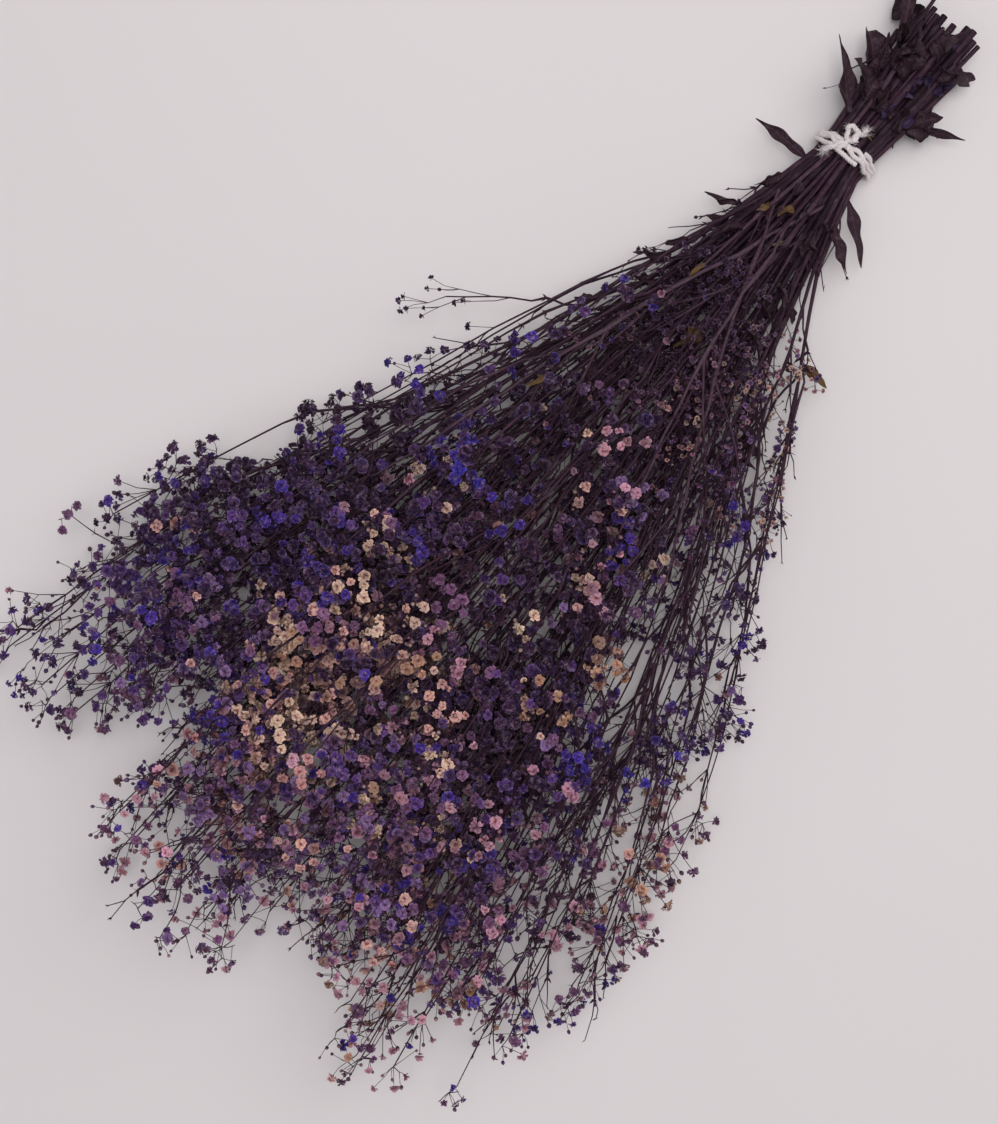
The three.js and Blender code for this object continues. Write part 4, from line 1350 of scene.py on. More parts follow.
def string_tree():
    """Plies twisted about a drawn line, with loose fibres standing off them."""
    tree = node_tree("Twisted string", [
        ("Plies", "NodeSocketInt", 3), ("Ply Radius", "NodeSocketFloat", 0.00076),
        ("Ply Offset", "NodeSocketFloat", 0.00072), ("Twist", "NodeSocketFloat", 1250.0),
        ("Step", "NodeSocketFloat", 0.0007), ("Fibre", "NodeSocketObject", None),
        ("Fibres", "NodeSocketFloat", 4.0e5), ("Seed", "NodeSocketInt", 5),
        ("Cotton Finish", "NodeSocketMaterial", None),
    ])
    w = Wiring(tree)
    given = w.node("NodeGroupInput").outputs
    curve = w.node("GeometryNodeMeshToCurve", {"Mesh": given["Geometry"]})
    smooth = w.node("GeometryNodeCurveSplineType", {"Curve": curve.outputs[0]}, spline_type="CATMULL_ROM")
    fine = w.node("GeometryNodeResampleCurve", {
        "Curve": smooth.outputs[0], "Length": given["Step"],
    }, mode="LENGTH")
    copies = w.node("GeometryNodeDuplicateElements", {
        "Geometry": fine.outputs[0], "Amount": given["Plies"],
    }, domain="SPLINE")
    length = w.node("GeometryNodeSplineParameter").outputs["Length"]
    normal = w.node("GeometryNodeInputNormal").outputs[0]
    tangent = w.node("GeometryNodeInputTangent").outputs[0]
    share = w.math("DIVIDE", copies.outputs["Duplicate Index"], given["Plies"])
    angle = w.math("MULTIPLY_ADD", share, 2 * math.pi, w.math("MULTIPLY", length, given["Twist"]))
    turned = w.node("ShaderNodeVectorRotate", {"Vector": normal, "Axis": tangent, "Angle": angle},
                    rotation_type="AXIS_ANGLE")
    off = w.node("ShaderNodeVectorMath", {0: turned.outputs[0]}, operation="SCALE")
    tree.links.new(given["Ply Offset"], off.inputs["Scale"])
    plies = w.node("GeometryNodeSetPosition", {"Geometry": copies.outputs[0], "Offset": off.outputs[0]})
    section = w.node("GeometryNodeCurvePrimitiveCircle", {"Resolution": 5, "Radius": given["Ply Radius"]})
    skin = w.node("GeometryNodeCurveToMesh", {
        "Curve": plies.outputs[0], "Profile Curve": section.outputs[0], "Fill Caps": True, "Scale": 1.0,
    })
    rounded = w.node("GeometryNodeSetShadeSmooth", {"Geometry": skin.outputs[0]})
    fibre = w.node("GeometryNodeObjectInfo", {"Object": given["Fibre"]})
    spots = w.node("GeometryNodeDistributePointsOnFaces", {
        "Mesh": rounded.outputs[0], "Density": given["Fibres"], "Seed": given["Seed"],
    })
    size = w.node("FunctionNodeRandomValue", {"Seed": given["Seed"]}, data_type="FLOAT")
    size.inputs[2].default_value, size.inputs[3].default_value = 0.5, 1.3
    lean = w.node("FunctionNodeRandomValue", {"Seed": given["Seed"]}, data_type="FLOAT_VECTOR")
    lean.inputs[0].default_value, lean.inputs[1].default_value = (-0.9, -0.9, 0), (0.9, 0.9, 6.28)
    leaning = w.node("FunctionNodeEulerToRotation", {"Euler": lean.outputs[0]})
    bent = w.node("FunctionNodeRotateRotation", {
        0: spots.outputs["Rotation"], 1: leaning.outputs[0],
    }, rotation_space="LOCAL")
    fuzz = w.node("GeometryNodeInstanceOnPoints", {
        "Points": spots.outputs[0], "Instance": fibre.outputs["Geometry"], "Rotation": bent.outputs[0],
        "Scale": size.outputs[1],
    })
    frayed = w.node("GeometryNodeInstanceOnPoints", {
        "Points": given["Geometry"], "Selection": w.named("frayed", "BOOLEAN"),
        "Instance": fibre.outputs["Geometry"], "Rotation": w.named("turn", "QUATERNION"),
        "Scale": w.named("size"),
    })
    joined = w.node("GeometryNodeJoinGeometry")
    for part in (rounded.outputs[0], fuzz.outputs[0], frayed.outputs[0]):
        tree.links.new(part, joined.inputs[0])
    end_tree(w, joined.outputs[0], given["Cotton Finish"])
    return tree


FLOOR_GAP = 0.00004


def finished_by(tree, source, name, values):
    """The plain mesh that a tree makes of a source object, as a new object."""
    bpy.context.scene.collection.objects.link(source)
    modifier = source.modifiers.new(tree.name, "NODES")
    modifier.node_group = tree
    sockets = {s.name: s.identifier for s in tree.interface.items_tree if s.in_out == "INPUT"}
    for label, value in values.items():
        modifier[sockets[label]] = value
    graph = bpy.context.evaluated_depsgraph_get()
    mesh = bpy.data.meshes.new_from_object(source.evaluated_get(graph), depsgraph=graph)
    source.modifiers.clear()
    bpy.data.objects.remove(source)
    mesh.name = name
    places = np.empty(3 * len(mesh.vertices), np.float32)
    mesh.vertices.foreach_get("co", places)
    places[2::3] = np.maximum(places[2::3], FLOOR_GAP)
    mesh.vertices.foreach_set("co", places)
    made = bpy.data.objects.new(name, mesh)
    bpy.context.scene.collection.objects.link(made)
    return made


# Shader groups

def shader_group(name, inputs, outputs):
    """A group with its named sockets, its wiring, and what it is given."""
    group = bpy.data.node_groups.new(name, "ShaderNodeTree")
    for label, kind, value in inputs:
        made = group.interface.new_socket(label, in_out="INPUT", socket_type=kind)
        if value is not None:
            made.default_value = value
    for label, kind in outputs:
        group.interface.new_socket(label, in_out="OUTPUT", socket_type=kind)
    w = Wiring(group)
    return group, w, w.node("NodeGroupInput").outputs


def grain_group():
    """Fine lengthwise grain and pits, as a height and as a mask of darker streaks."""
    group, w, given = shader_group("Dried grain", [
        ("Place", "NodeSocketVector", None), ("Scale", "NodeSocketFloat", 1.0),
        ("Stretch", "NodeSocketFloat", 0.1), ("Pits", "NodeSocketFloat", 0.3),
    ], [("Height", "NodeSocketFloat"), ("Streaks", "NodeSocketFloat")])
    narrow = w.node("ShaderNodeCombineXYZ", {"X": 1.0, "Y": given["Stretch"], "Z": 1.0})
    place = w.node("ShaderNodeVectorMath", {0: given["Place"], 1: narrow.outputs[0]}, operation="MULTIPLY")
    streaks = w.node("ShaderNodeTexNoise", {
        "Vector": place.outputs[0], "Scale": w.math("MULTIPLY", given["Scale"], 1800.0),
        "Detail": 3.0, "Roughness": 0.62,
    })
    pits = w.node("ShaderNodeTexNoise", {
        "Vector": given["Place"], "Scale": w.math("MULTIPLY", given["Scale"], 2600.0),
        "Detail": 2.0, "Roughness": 0.5,
    })
    height = w.math("MULTIPLY_ADD", pits.outputs[0], given["Pits"], streaks.outputs[0])
    w.node("NodeGroupOutput", {"Height": height, "Streaks": streaks.outputs[0]})
    return group


def mottle_group():
    """Uneven dye: a colour taken darker and lighter in soft patches at two sizes."""
    group, w, given = shader_group("Dye mottle", [
        ("Place", "NodeSocketVector", None), ("Colour", "NodeSocketColor", (0.5, 0.5, 0.5, 1)),
        ("Pale", "NodeSocketColor", (0.7, 0.6, 0.6, 1)), ("Dark", "NodeSocketColor", (0.05, 0.02, 0.04, 1)),
        ("Scale", "NodeSocketFloat", 1.0), ("Amount", "NodeSocketFloat", 0.5),
    ], [("Colour", "NodeSocketColor")])
    broad = w.node("ShaderNodeTexNoise", {
        "Vector": given["Place"], "Scale": w.math("MULTIPLY", given["Scale"], 260.0), "Detail": 3.0,
    })
    fine = w.node("ShaderNodeTexNoise", {
        "Vector": given["Place"], "Scale": w.math("MULTIPLY", given["Scale"], 1300.0), "Detail": 2.0,
    })
    high = w.node("ShaderNodeMapRange", {0: broad.outputs[0], 1: 0.52, 2: 0.74, 3: 0.0, 4: 1.0})
    low = w.node("ShaderNodeMapRange", {0: fine.outputs[0], 1: 0.5, 2: 0.3, 3: 0.0, 4: 1.0})
    paler = w.node("ShaderNodeMix", {0: w.math("MULTIPLY", high.outputs[0], given["Amount"]),
                                     6: given["Colour"], 7: given["Pale"]}, data_type="RGBA")
    darker = w.node("ShaderNodeMix", {0: w.math("MULTIPLY", low.outputs[0], given["Amount"]),
                                      6: paler.outputs[2], 7: given["Dark"]}, data_type="RGBA")
    w.node("NodeGroupOutput", {"Colour": darker.outputs[2]})
    return group


def new_finish(name, roughness, **constants):
    """A finish with one shader, its wiring, and the place on the object."""
    made = bpy.data.materials.new(name)
    made.use_nodes = True
    made.node_tree.nodes.clear()
    w = Wiring(made.node_tree)
    place = w.node("ShaderNodeTexCoord").outputs["Object"]
    shader = w.node("ShaderNodeBsdfPrincipled", {"Roughness": roughness})
    for key, value in constants.items():
        shader.inputs[key.replace("_", " ")].default_value = value
    w.node("ShaderNodeOutputMaterial", {"Surface": shader.outputs[0]})
    return made, w, place, shader


def read(w, name, colour=False):
    made = w.node("ShaderNodeAttribute", attribute_name=name)
    return made.outputs["Color" if colour else "Fac"]


def ramp(w, value, low, high, to=(0.0, 1.0)):
    return w.node("ShaderNodeMapRange", {0: value, 1: low, 2: high, 3: to[0], 4: to[1]}).outputs[0]


def blend_colours(w, share, a, b, kind="MIX"):
    made = w.node("ShaderNodeMix", {0: share}, data_type="RGBA", blend_type=kind)
    for index, value in ((6, a), (7, b)):
        if isinstance(value, bpy.types.NodeSocket):
            w.tree.links.new(value, made.inputs[index])
        else:
            made.inputs[index].default_value = (*value, 1)
    return made.outputs[2]


def mottled(w, mottle, place, colour, pale, dark, scale, amount):
    return w.node("ShaderNodeGroup", {
        "Place": place, "Colour": colour, "Pale": (*pale, 1), "Dark": (*dark, 1),
        "Scale": scale, "Amount": amount,
    }, node_tree=mottle).outputs[0]


def grained(w, grain, place, scale, stretch):
    return w.node("ShaderNodeGroup", {"Place": place, "Scale": scale, "Stretch": stretch},
                  node_tree=grain).outputs


def dress_shader(w, shader, colour, roughness, height, strength, distance):
    """The colour, the roughness and the bumps of a finish."""
    bumps = w.node("ShaderNodeBump", {"Height": height, "Strength": strength, "Distance": distance})
    for name, value in (("Base Color", colour), ("Roughness", roughness), ("Normal", bumps.outputs[0])):
        w.tree.links.new(value, shader.inputs[name])


def petal_finish(grain, mottle):
    """Dyed, dried petals: darker and browner at the foot, partly painted shade in the clefts and partly
    their own browner foot, paler at the crumpled rim, on plum-green sepals.
    """
    made, w, place, shader = new_finish("dyed petals", 0.85, Sheen_Weight=0.02, Sheen_Roughness=0.5,
                                        Specular_IOR_Level=0.04)
    dye, reach, tone, sepal = read(w, "dye", True), read(w, "reach"), read(w, "tone"), read(w, "sepal")
    # Partly painted shade: the foot is darkened where the clefts between petals are shaded, and browned as
    # dried petals are
    foot = blend_colours(w, 0.85, dye, blend_colours(w, 0.75, dye, (0.05, 0.02, 0.035), "MULTIPLY"))
    foot = blend_colours(w, 0.25, foot, (0.10, 0.045, 0.06))
    rim = blend_colours(w, 0.13, dye, (0.80, 0.62, 0.74))
    heart = blend_colours(w, ramp(w, tone, 0.3, 0.8), (0.42, 0.10, 0.07), (0.20, 0.045, 0.085))
    red = w.node("ShaderNodeSeparateColor", {"Color": dye}).outputs[0]
    pale = w.math("MULTIPLY", ramp(w, red, 0.25, 0.7), ramp(w, reach, 0.95, 0.2, (0.0, 0.75)))
    foot = blend_colours(w, pale, foot, heart)
    body = blend_colours(w, ramp(w, reach, 0.1, 0.85), foot, dye)
    body = blend_colours(w, ramp(w, reach, 0.75, 1.0), body, rim)
    body = blend_colours(w, ramp(w, tone, 0.6, 0.2, (0.0, 0.3)), body, (0.17, 0.085, 0.055))
    dyed = mottled(w, mottle, place, body, (0.50, 0.34, 0.47), (0.022, 0.006, 0.024), 1.5, 0.42)
    cup = blend_colours(w, ramp(w, reach, 0.25, 1.0), (0.045, 0.024, 0.040),
                        blend_colours(w, 0.35, (0.10, 0.060, 0.080), dye))
    lines = grained(w, grain, place, 1.1, 0.55)
    dress_shader(w, shader, blend_colours(w, sepal, dyed, cup),
                 ramp(w, lines["Streaks"], 0.3, 0.7, (0.66, 0.9)), lines["Height"], 0.5, 0.0003)
    return made


def stem_finish(grain, mottle):
    """Dyed, dried stems: plum-brown to nearly black, with a mauve-grey bloom in long streaks."""
    made, w, place, shader = new_finish("dyed stems", 0.5, Specular_IOR_Level=0.13)
    tone, girth = read(w, "tone"), read(w, "girth")
    dark = blend_colours(w, ramp(w, tone, 0.0, 1.0), (0.013, 0.004, 0.010), (0.046, 0.018, 0.034))
    dark = blend_colours(w, ramp(w, tone, 1.0, 1.5), dark, (0.090, 0.056, 0.076))
    lines = grained(w, grain, place, 0.8, 0.05)
    frost = w.math("MULTIPLY", ramp(w, lines["Streaks"], 0.48, 0.7, (0.0, 0.62)),
                   ramp(w, tone, 0.2, 1.2, (0.2, 1.0)))
    bloomed = blend_colours(w, frost, dark, (0.140, 0.090, 0.122))
    twigs = blend_colours(w, ramp(w, girth, 0.0009, 0.0004), bloomed, (0.040, 0.016, 0.030))
    dyed = mottled(w, mottle, place, twigs, (0.105, 0.060, 0.090), (0.005, 0.002, 0.004), 0.45, 0.42)
    dress_shader(w, shader, dyed, ramp(w, lines["Height"], 0.4, 0.8, (0.38, 0.66)),
                 lines["Height"], 0.6, 0.0004)
    return made


def leaf_finish(grain, mottle):
    """Dyed leaves: dark and papery, with a faint midrib and side veins."""
    made, w, place, shader = new_finish("dyed leaves", 0.6, Specular_IOR_Level=0.22)
    run, across, tint = read(w, "run"), read(w, "across"), read(w, "tint", True)
    side = w.math("ABSOLUTE", across)
    vein = w.math("SINE", w.math("MULTIPLY_ADD", side, -7.0, w.math("MULTIPLY", run, 58.0)))
    paler = blend_colours(w, 0.16, tint, (0.30, 0.20, 0.25))
    base = blend_colours(w, ramp(w, vein, 0.7, 1.0, (0.0, 0.35)), tint, paler)
    base = blend_colours(w, ramp(w, side, 0.1, 0.02, (0.0, 0.8)), base, paler)
    base = blend_colours(w, ramp(w, side, 0.8, 1.0, (0.0, 0.5)), base, (0.022, 0.012, 0.010))
    dyed = mottled(w, mottle, place, base, (0.12, 0.08, 0.11), (0.010, 0.005, 0.008), 0.7, 0.55)
    lines = grained(w, grain, place, 1.0, 0.4)
    dress_shader(w, shader, dyed, ramp(w, lines["Height"], 0.4, 0.9, (0.48, 0.74)),
                 w.math("MULTIPLY_ADD", vein, 0.2, lines["Height"]), 0.7, 0.0005)
    return made


def cotton_finish(grain, mottle):
    """Undyed cotton string with a faint mauve stain in soft patches."""
    made, w, place, shader = new_finish("cotton string", 0.9, Sheen_Weight=0.4, Sheen_Roughness=0.6)
    dyed = mottled(w, mottle, place, (0.76, 0.69, 0.70, 1), (0.84, 0.80, 0.80), (0.52, 0.42, 0.45),
                   1.0, 0.45)
    lines = grained(w, grain, place, 1.6, 0.6)
    dress_shader(w, shader, dyed, ramp(w, lines["Streaks"], 0.3, 0.7, (0.82, 0.97)),
                 lines["Height"], 0.7, 0.0004)
    return made


def surface_finish():
    """The pale surface that the bunch lies on."""
    made, w, place, shader = new_finish("pale surface", 0.85)
    cloud = w.node("ShaderNodeTexNoise", {"Vector": place, "Scale": 3.0, "Detail": 2.0})
    w.tree.links.new(blend_colours(w, cloud.outputs[0], (0.705, 0.662, 0.672), (0.74, 0.70, 0.71)),
                     shader.inputs["Base Color"])
    return made


# Pieces

def stem_piece(sprig, shift, tree, bract, finish, name):
    """The stems, twigs and stalks of one spray as drawn lines, and its bracts as loose points."""
    verts, edges, girth, tone, turns, sizes = [], [], [], [], [], []
    for points, radii, shade in sprig.lines:
        first = len(verts)
        verts += list(mm(points, shift))
        edges += [(first + k, first + k + 1) for k in range(len(points) - 1)]
        girth += list(radii * 0.001)
        tone += [shade] * len(points)
    drawn = len(verts)
    for place, turn, size in sprig.bracts:
        verts.append(mm(place, shift))
        turns.append(turn)
        sizes.append(size)
    source = shape_object("lines", verts, [], False, edges)
    count = len(verts)
    attribute(source.data, "girth", "FLOAT", girth + [0.0004] * (count - drawn))
    attribute(source.data, "tone", "FLOAT", tone + [0.6] * (count - drawn))
    attribute(source.data, "bract", "BOOLEAN", [0] * drawn + [1] * (count - drawn))
    attribute(source.data, "turn", "QUATERNION", [(1, 0, 0, 0)] * drawn + [tuple(t) for t in turns])
    attribute(source.data, "size", "FLOAT", [1] * drawn + sizes)
    return finished_by(tree, source, name, {"Bract": bract, "Stem Finish": finish})


def bloom_piece(sprig, shift, tree, shapes, finish, name):
    """The florets and buds of one spray, each a point with its own turn, size, shape and dye."""
    places, turns, sizes, kinds, dyes = zip(*sprig.blooms)
    source = shape_object("points", mm(places, shift), [], False)
    attribute(source.data, "turn", "QUATERNION", [tuple(t) for t in turns])
    attribute(source.data, "size", "FLOAT", sizes)
    attribute(source.data, "kind", "INT", kinds)
    attribute(source.data, "dye", "FLOAT_VECTOR", dyes)
    return finished_by(tree, source, name, {"Shapes": shapes, "Petal Finish": finish})


SCRAP_GRID = (11, 5)


def blade(held, root, way, length, width, curl, twist, fold, tint, rng, rows=16, columns=7):
    """One dried leaf: a thin closed blade on a spine that curls, its edges waved and folded up."""
    across = unit(np.cross(way, UP + 0.01))
    above = unit(np.cross(across, way))
    place, heading = np.array(root, float), unit(way)
    wave, lean = rng.uniform(0, 6.28), rng.uniform(-0.25, 0.25)
    first = len(held["verts"])
    layers = ([], [])
    for r in range(rows):
        u = r / (rows - 1)
        half = width * 0.54 * math.sin(math.pi * min(1, u * 0.95 + 0.03) ** 0.78) ** 1.15 + 0.1
        turn = twist * u
        side = across * math.cos(turn) + above * math.sin(turn)
        face = above * math.cos(turn) - across * math.sin(turn)
        for c in range(columns):
            v = 2 * c / (columns - 1) - 1
            waves = 0.3 * math.sin(7 * u + wave + v) + 0.16 * math.sin(17 * u + 2 * wave + 2 * v)
            rag = half * waves * abs(v)
            point = place + side * v * half * (1 + 0.22 * math.sin(13 * u + wave * v)) + face * (
                half * fold * abs(v) ** 1.4 + rag)
            for layer, lift in enumerate((0.12, -0.12)):
                layers[layer].append(point + face * lift)
            held["run"].append(u)
            held["across"].append(v)
        step = length / (rows - 1)
        place = place + heading * step
        bend = curl / (rows - 1) * (0.35 + 1.3 * u)
        heading, above = unit(heading * math.cos(bend) + above * math.sin(bend)), unit(
            above * math.cos(bend) - heading * math.sin(bend))
        swing = lean / (rows - 1)
        heading, across = unit(heading + across * swing), unit(across - heading * swing)
    for layer in layers:
        for point in layer:
            point[2] = max(point[2], 0.4)
            held["verts"].append(point)
    size = rows * columns
    held["run"] += held["run"][-size:]
    held["across"] += held["across"][-size:]
    held["tint"] += [tint] * (2 * size)
    faces = held["faces"]
    for r in range(rows - 1):
        for c in range(columns - 1):
            a = first + r * columns + c
            quad = (a, a + 1, a + columns + 1, a + columns)
            faces.append(tuple(reversed(quad)))
            faces.append(tuple(k + size for k in quad))
    loop = list(range(columns))
    loop += [r * columns + columns - 1 for r in range(1, rows)]
    loop += [(rows - 1) * columns + c for c in range(columns - 2, -1, -1)]
    loop += [r * columns for r in range(rows - 2, 0, -1)]
    for k, a in enumerate(loop):
        b = loop[(k + 1) % len(loop)]
        faces.append((first + a, first + b, first + size + b, first + size + a))


LEAF_PLUM, LEAF_VIOLET = (0.030, 0.011, 0.019), (0.040, 0.020, 0.068)
LEAF_OCHRE, LEAF_OLIVE = (0.15, 0.085, 0.03), (0.13, 0.10, 0.04)

# Leaf scraps that the picture shows one by one, by row and column: the root as a share of the stem above
# the tie or, below nought, of the length below it, then the heading, length, width and colour
SCRAPS = {
    (6, 0): [(0.42, (-0.4, -1, 0.1), 14, 3.2, LEAF_OCHRE), (0.2, (-0.2, -1, 0.1), 13, 2.8, LEAF_OCHRE)],
    (6, 1): [(-0.07, (0.9, -0.3, 0.05), 9, 2.6, LEAF_OLIVE), (-0.05, (0.8, 0.5, 0.1), 7, 2.8, LEAF_OLIVE)],
    (6, 2): [(0.11, (-0.5, -1, 0.1), 12, 2.0, LEAF_OLIVE)],
}


def leaf_piece(spray, sprig, shift, finish, name):
    """The leaves of one spray: the lance-shaped ones, and curled scraps along its lower stem."""
    rng = sprig.rng
    held = {"verts": [], "faces": [], "run": [], "across": [], "tint": []}
    for leaf in spray["leaves"]:
        way = leaf["tip"] - leaf["root"]
        length = np.linalg.norm(way)
        shrivelled = 2.4 if length < 27 else 1
        blade(held, leaf["root"], unit(way), length * 1.04, leaf["width"] * rng.uniform(0.78, 0.95),
              rng.uniform(-1.1, 0.4) * shrivelled, rng.choice((-1, 1)) * rng.uniform(0.5, 1.3) * shrivelled,
              rng.uniform(0.2, 0.6) * shrivelled, LEAF_PLUM, rng)
    row, column = spray["row"], spray["column"]
    outer = row in (0, 6) or column in (0, STEMS_IN_ROW[row] - 1)
    for _ in range(int(rng.integers(3, 6)) if outer or row == 5 else int(rng.integers(0, 2))):
        near_cut = rng.uniform(0, 1) < 0.52
        if near_cut:
            root = below_tie(spray, rng.uniform(0.2, 0.95))
        else:
            root = sprig.spine(rng.uniform(0.03, 0.34))
        out = unit(np.array([root[0] * 0.5, rng.normal(0, 6), root[2] - TIE_HEIGHT + 8]))
        heading = unit(out + np.array([0, 1 if near_cut else -1, 0]) * rng.uniform(0.2, 1.4)
                       + rng.normal(0, 0.25, 3))
        violet = near_cut and row >= 4 and column >= 2
        tint = LEAF_VIOLET if violet and rng.uniform(0, 1) < 0.7 else LEAF_PLUM
        if not near_cut and rng.uniform(0, 1) < 0.12:
            tint = LEAF_OCHRE
        lengths = (7, 13) if tint == LEAF_VIOLET else (12, 26) if near_cut else (7, 21)
        length = rng.uniform(*lengths)
        width = length * rng.uniform(*((0.3, 0.62) if near_cut else (0.22, 0.46)))
        blade(held, root + out * 1.2, heading, length, width, rng.uniform(-2.8, 2.8),
              rng.uniform(-2.2, 2.2), rng.uniform(0.2, 1.1), tint, rng, *SCRAP_GRID)
    for u, heading, length, width, tint in SCRAPS.get((row, column), []):
        root = (sprig.spine(u) if u > 0 else below_tie(spray, -u)) + np.array([0, 0, 1.5])
        blade(held, root, unit(np.array(heading, float)), length, width, rng.uniform(-2.0, 2.0),
              rng.uniform(-1.8, 1.8), rng.uniform(0.6, 1.1), tint, rng, *SCRAP_GRID)
    if not held["verts"]:
        return None
    made = shape_object(name, mm(held["verts"], shift), held["faces"])
    attribute(made.data, "run", "FLOAT", held["run"])
    attribute(made.data, "across", "FLOAT", held["across"])
    attribute(made.data, "tint", "FLOAT_VECTOR", held["tint"])
    made.data.materials.append(finish)
    bpy.context.scene.collection.objects.link(made)
    outward(made)
    return made


def outward(obj):
    """All faces turned outwards."""
    held = bmesh.new()
    held.from_mesh(obj.data)
    bmesh.ops.recalc_face_normals(held, faces=held.faces)
    held.to_mesh(obj.data)
    held.free()


# The cords on top of the bundle: one across the turns, the loop of the knot, and two tails. Each point
# is a place in plan and how high it stands over the middle line of the turns
CORDS = [
    [(-4.6, -4.4, 0.4), (-5.0, -2.4, 1.5), (-3.6, -0.4, 1.9), (-4.2, 1.8, 1.6), (-3.0, 4.2, 0.6)],
    [(-3.8, 2.2, 1), (-5.8, 3.6, 2.4), (-6.6, 6.0, 2.2), (-8.2, 7.8, 2.8), (-6.6, 10.4, 2.0),
     (-4.4, 9.6, 2.8), (-1.8, 9.4, 2), (-2.4, 6.4, 2.4), (-1.2, 4.4, 1.4), (-3.4, 3.2, 1)],
    [(-3.0, 3.0, 1.2), (-0.8, 5.0, 2.2), (-1.6, 8.2, 1.4), (0.6, 10.6, 1.8), (0.2, 13.2, 0.8)],
    [(-4.8, 0.6, 1.2), (-6.8, -1.4, 2), (-7.6, -4.6, 1.4), (-9.6, -6.6, 0.4), (-10.6, -8.8, -1.2)],
]

# The length of one crumple of the string, how many fibres stand loose at the end of the loop and of
# each tail, by the number of the line, and how many on the knot
CRUMPLE = 3.2
FRAYED = {2: 10, 3: 90, 4: 150}
KNOT_FUZZ = 90


def string_lines(rng):
    """The drawn lines of the string: the turns round the bundle, then the cords of the knot."""
    radius = (STEM_RADIUS + STRING_GAP + STRING_RADIUS) / math.cos(math.pi / 12)
    winding = []
    corners = [(c * math.pi / 3, h) for c in range(6) for h in (-math.pi / 12, math.pi / 12)]
    start, total = 3, STRING_TURNS * 12
    for k in range(total + 1):
        bearing, half = corners[(start + k) % 12]
        y = (k / total - 0.5) * STRING_PITCH * (STRING_TURNS - 0.9) + rng.normal(0, 0.4)
        out = radius - 0.2
        place = np.array([BUNDLE_HALF * math.cos(bearing) + out * math.cos(bearing + half), y,
                          TIE_HEIGHT + BUNDLE_HALF * math.sin(bearing) + out * math.sin(bearing + half)])
        if winding:
            gap = np.linalg.norm(place - winding[-1])
            steps = max(1, int(gap / CRUMPLE))
            first = winding[-1]
            for step in range(1, steps):
                fold = first + (place - first) * step / steps
                away = unit(np.array([fold[0], 0, fold[2] - TIE_HEIGHT]))
                winding.append(fold + away * rng.uniform(-0.1, 0.7) + np.array([0, rng.normal(0, 0.55), 0]))
        winding.append(place)
    top = STEM_RADIUS + STRING_GAP + STRING_RADIUS
    base = TIE_HEIGHT + MIDDLE_ROW * ROW_PITCH
    return [winding, *[[(x, y, base + (top + rise)) for x, y, rise in cord] for cord in CORDS]]


def string_piece(shift, tree, fibre, finish, name):
    """The string as drawn lines, with loose fibres at its frayed ends and on the knot."""
    rng = np.random.default_rng(SEED + 900)
    verts, edges, turns, sizes = [], [], [], []
    lines = string_lines(rng)
    for line in lines:
        first = len(verts)
        verts += list(mm(line, shift))
        edges += [(first + k, first + k + 1) for k in range(len(line) - 1)]
    drawn = len(verts)
    for k, strands in FRAYED.items():
        before, end = np.array(lines[k][-2:])
        way = unit(end - before)
        for _ in range(strands):
            verts.append(mm(end - way * rng.uniform(0, 4.5) + rng.normal(0, 0.6, 3), shift))
            turns.append(tuple(any_turn(way + rng.normal(0, 0.45, 3), rng)))
            sizes.append(rng.uniform(1.4, 4.2))
    for _ in range(KNOT_FUZZ):
        knot = lines[2][int(rng.integers(0, len(lines[2])))]
        verts.append(mm(np.array(knot) + rng.normal(0, 0.9, 3), shift))
        turns.append(tuple(any_turn(rng.normal(0, 1, 3), rng)))
        sizes.append(rng.uniform(0.9, 2.4))
    source = shape_object("string lines", verts, [], False, edges)
    loose = len(verts) - drawn
    attribute(source.data, "frayed", "BOOLEAN", [0] * drawn + [1] * loose)
    attribute(source.data, "turn", "QUATERNION", [(1, 0, 0, 0)] * drawn + turns)
    attribute(source.data, "size", "FLOAT", [1] * drawn + sizes)
    return finished_by(tree, source, name, {"Fibre": fibre, "Cotton Finish": finish})


def fibre_shape():
    """One loose cotton fibre: a bent three-sided hair."""
    verts, faces = [], []
    spine = [(0, 0, -0.1), (0.1, 0, 0.5), (0.35, 0.1, 0.95), (0.75, 0.1, 1.2)]
    for k, (x, y, z) in enumerate(spine):
        for corner in range(3):
            turn = 2 * math.pi * corner / 3
            thick = 0.05 * (1 - 0.25 * k)
            verts.append((x + thick * math.cos(turn), y + thick * math.sin(turn), z))
    for k in range(len(spine) - 1):
        for corner in range(3):
            a, b = 3 * k + corner, 3 * k + (corner + 1) % 3
            faces.append((a, b, b + 3, a + 3))
    faces += [(2, 1, 0), (9, 10, 11)]
    return shape_object("fibre", np.array(verts) * 0.001, faces)


sprays = grow_bunch()
middle_spray = next(s for s in sprays if (s["row"], s["column"]) == (3, 3))
shift = placed_shift(middle_spray)

grain, mottle = grain_group(), mottle_group()
petal_look, stem_look = petal_finish(grain, mottle), stem_finish(grain, mottle)
leaf_look, cotton_look = leaf_finish(grain, mottle), cotton_finish(grain, mottle)

shapes = bpy.data.collections.new("bloom shapes")
for order, (kind, seed) in enumerate(BLOOM_SHAPES):
    shapes.objects.link(bloom_shape(kind, seed, f"{order}_{kind}"))
bract, fibre = bract_shape(), fibre_shape()

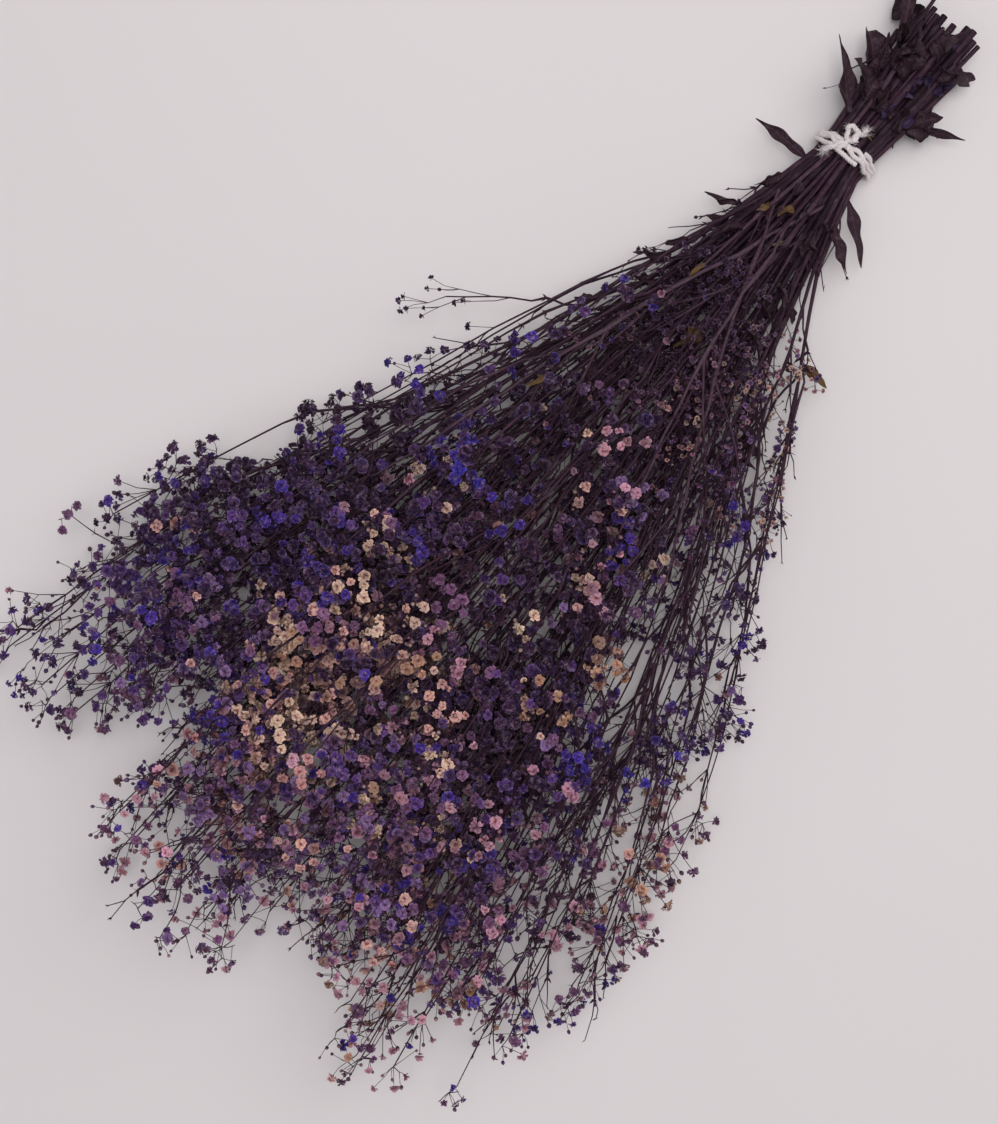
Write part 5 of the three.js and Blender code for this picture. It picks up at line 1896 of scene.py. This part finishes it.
blooms, stems, twine = blooms_tree(), stems_tree(), string_tree()
for place, spray in enumerate(sprays):
    node = f"spray_{spray['row']}_{spray['column']}"
    sprig = dress(spray, place)
    pieces = [
        (stem_piece(sprig, shift, stems, bract, stem_look, f"{node}.stems"), "dyed_stem"),
        (bloom_piece(sprig, shift, blooms, shapes, petal_look, f"{node}.florets"), "dyed_petal"),
    ]
    leaves = leaf_piece(spray, sprig, shift, leaf_look, f"{node}.leaves")
    if leaves:
        pieces.append((leaves, "dyed_leaf"))
    for piece, slot in pieces:
        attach(piece, "root")
        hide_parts(node)
string = string_piece(shift, twine, fibre, cotton_look, "string_tie.cotton")
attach(string, "root")
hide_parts("string_tie")

for made in [*shapes.objects, bract, fibre]:
    bpy.data.objects.remove(made)
bpy.data.collections.remove(shapes)

# Surface, light and camera

corners = [(-3, -3, 0), (3, -3, 0), (3, 3, 0), (-3, 3, 0)]
floor = shape_object("surface", corners, [(0, 1, 2, 3)], False)
floor.data.materials.append(surface_finish())
bpy.context.scene.collection.objects.link(floor)

PICTURE_TURN = math.radians(40)
PICTURE_MIDDLE = (-1.9, -288.7, 40)
PICTURE_HEIGHT = 595.7
CAMERA_RISE = 1150
SENSOR = 36

middle = mm(PICTURE_MIDDLE, shift)
lens = bpy.data.cameras.new("camera")
lens.sensor_fit = "VERTICAL"
lens.sensor_height = SENSOR
lens.lens = SENSOR * CAMERA_RISE / PICTURE_HEIGHT
camera = bpy.data.objects.new("camera", lens)
camera.location = (middle[0], middle[1], middle[2] + CAMERA_RISE * 0.001)
camera.rotation_euler = (0, 0, PICTURE_TURN)
bpy.context.scene.collection.objects.link(camera)
bpy.context.scene.camera = camera


def lamp(name, bearing, rise, distance, size, power, colour):
    """A soft square lamp aimed at the bunch. Its bearing is anticlockwise from the picture's right."""
    data = bpy.data.lights.new(name, "AREA")
    data.shape = "SQUARE"
    data.size = size
    data.energy = power
    data.color = colour
    made = bpy.data.objects.new(name, data)
    turn = math.radians(bearing) + PICTURE_TURN
    lean = math.radians(rise)
    way = Vector((math.cos(turn) * math.cos(lean), math.sin(turn) * math.cos(lean), math.sin(lean)))
    made.location = Vector(middle) + way * distance
    made.rotation_euler = way.to_track_quat("Z", "Y").to_euler()
    bpy.context.scene.collection.objects.link(made)


lamp("key", bearing=35, rise=58, distance=2.2, size=1.7, power=20.5, colour=(1.0, 0.98, 0.97))
lamp("fill", bearing=205, rise=60, distance=2.4, size=1.9, power=8, colour=(0.97, 0.97, 1.0))
lamp("top", bearing=90, rise=88, distance=2.4, size=0.8, power=21.5, colour=(1.0, 0.99, 0.99))

world = bpy.data.worlds.new("studio")
world.use_nodes = True
sky = world.node_tree.nodes["Background"].inputs
sky["Color"].default_value = (0.98, 0.965, 0.98, 1)
sky["Strength"].default_value = 0.225
bpy.context.scene.world = world
bpy.context.scene.view_settings.view_transform = "Standard"
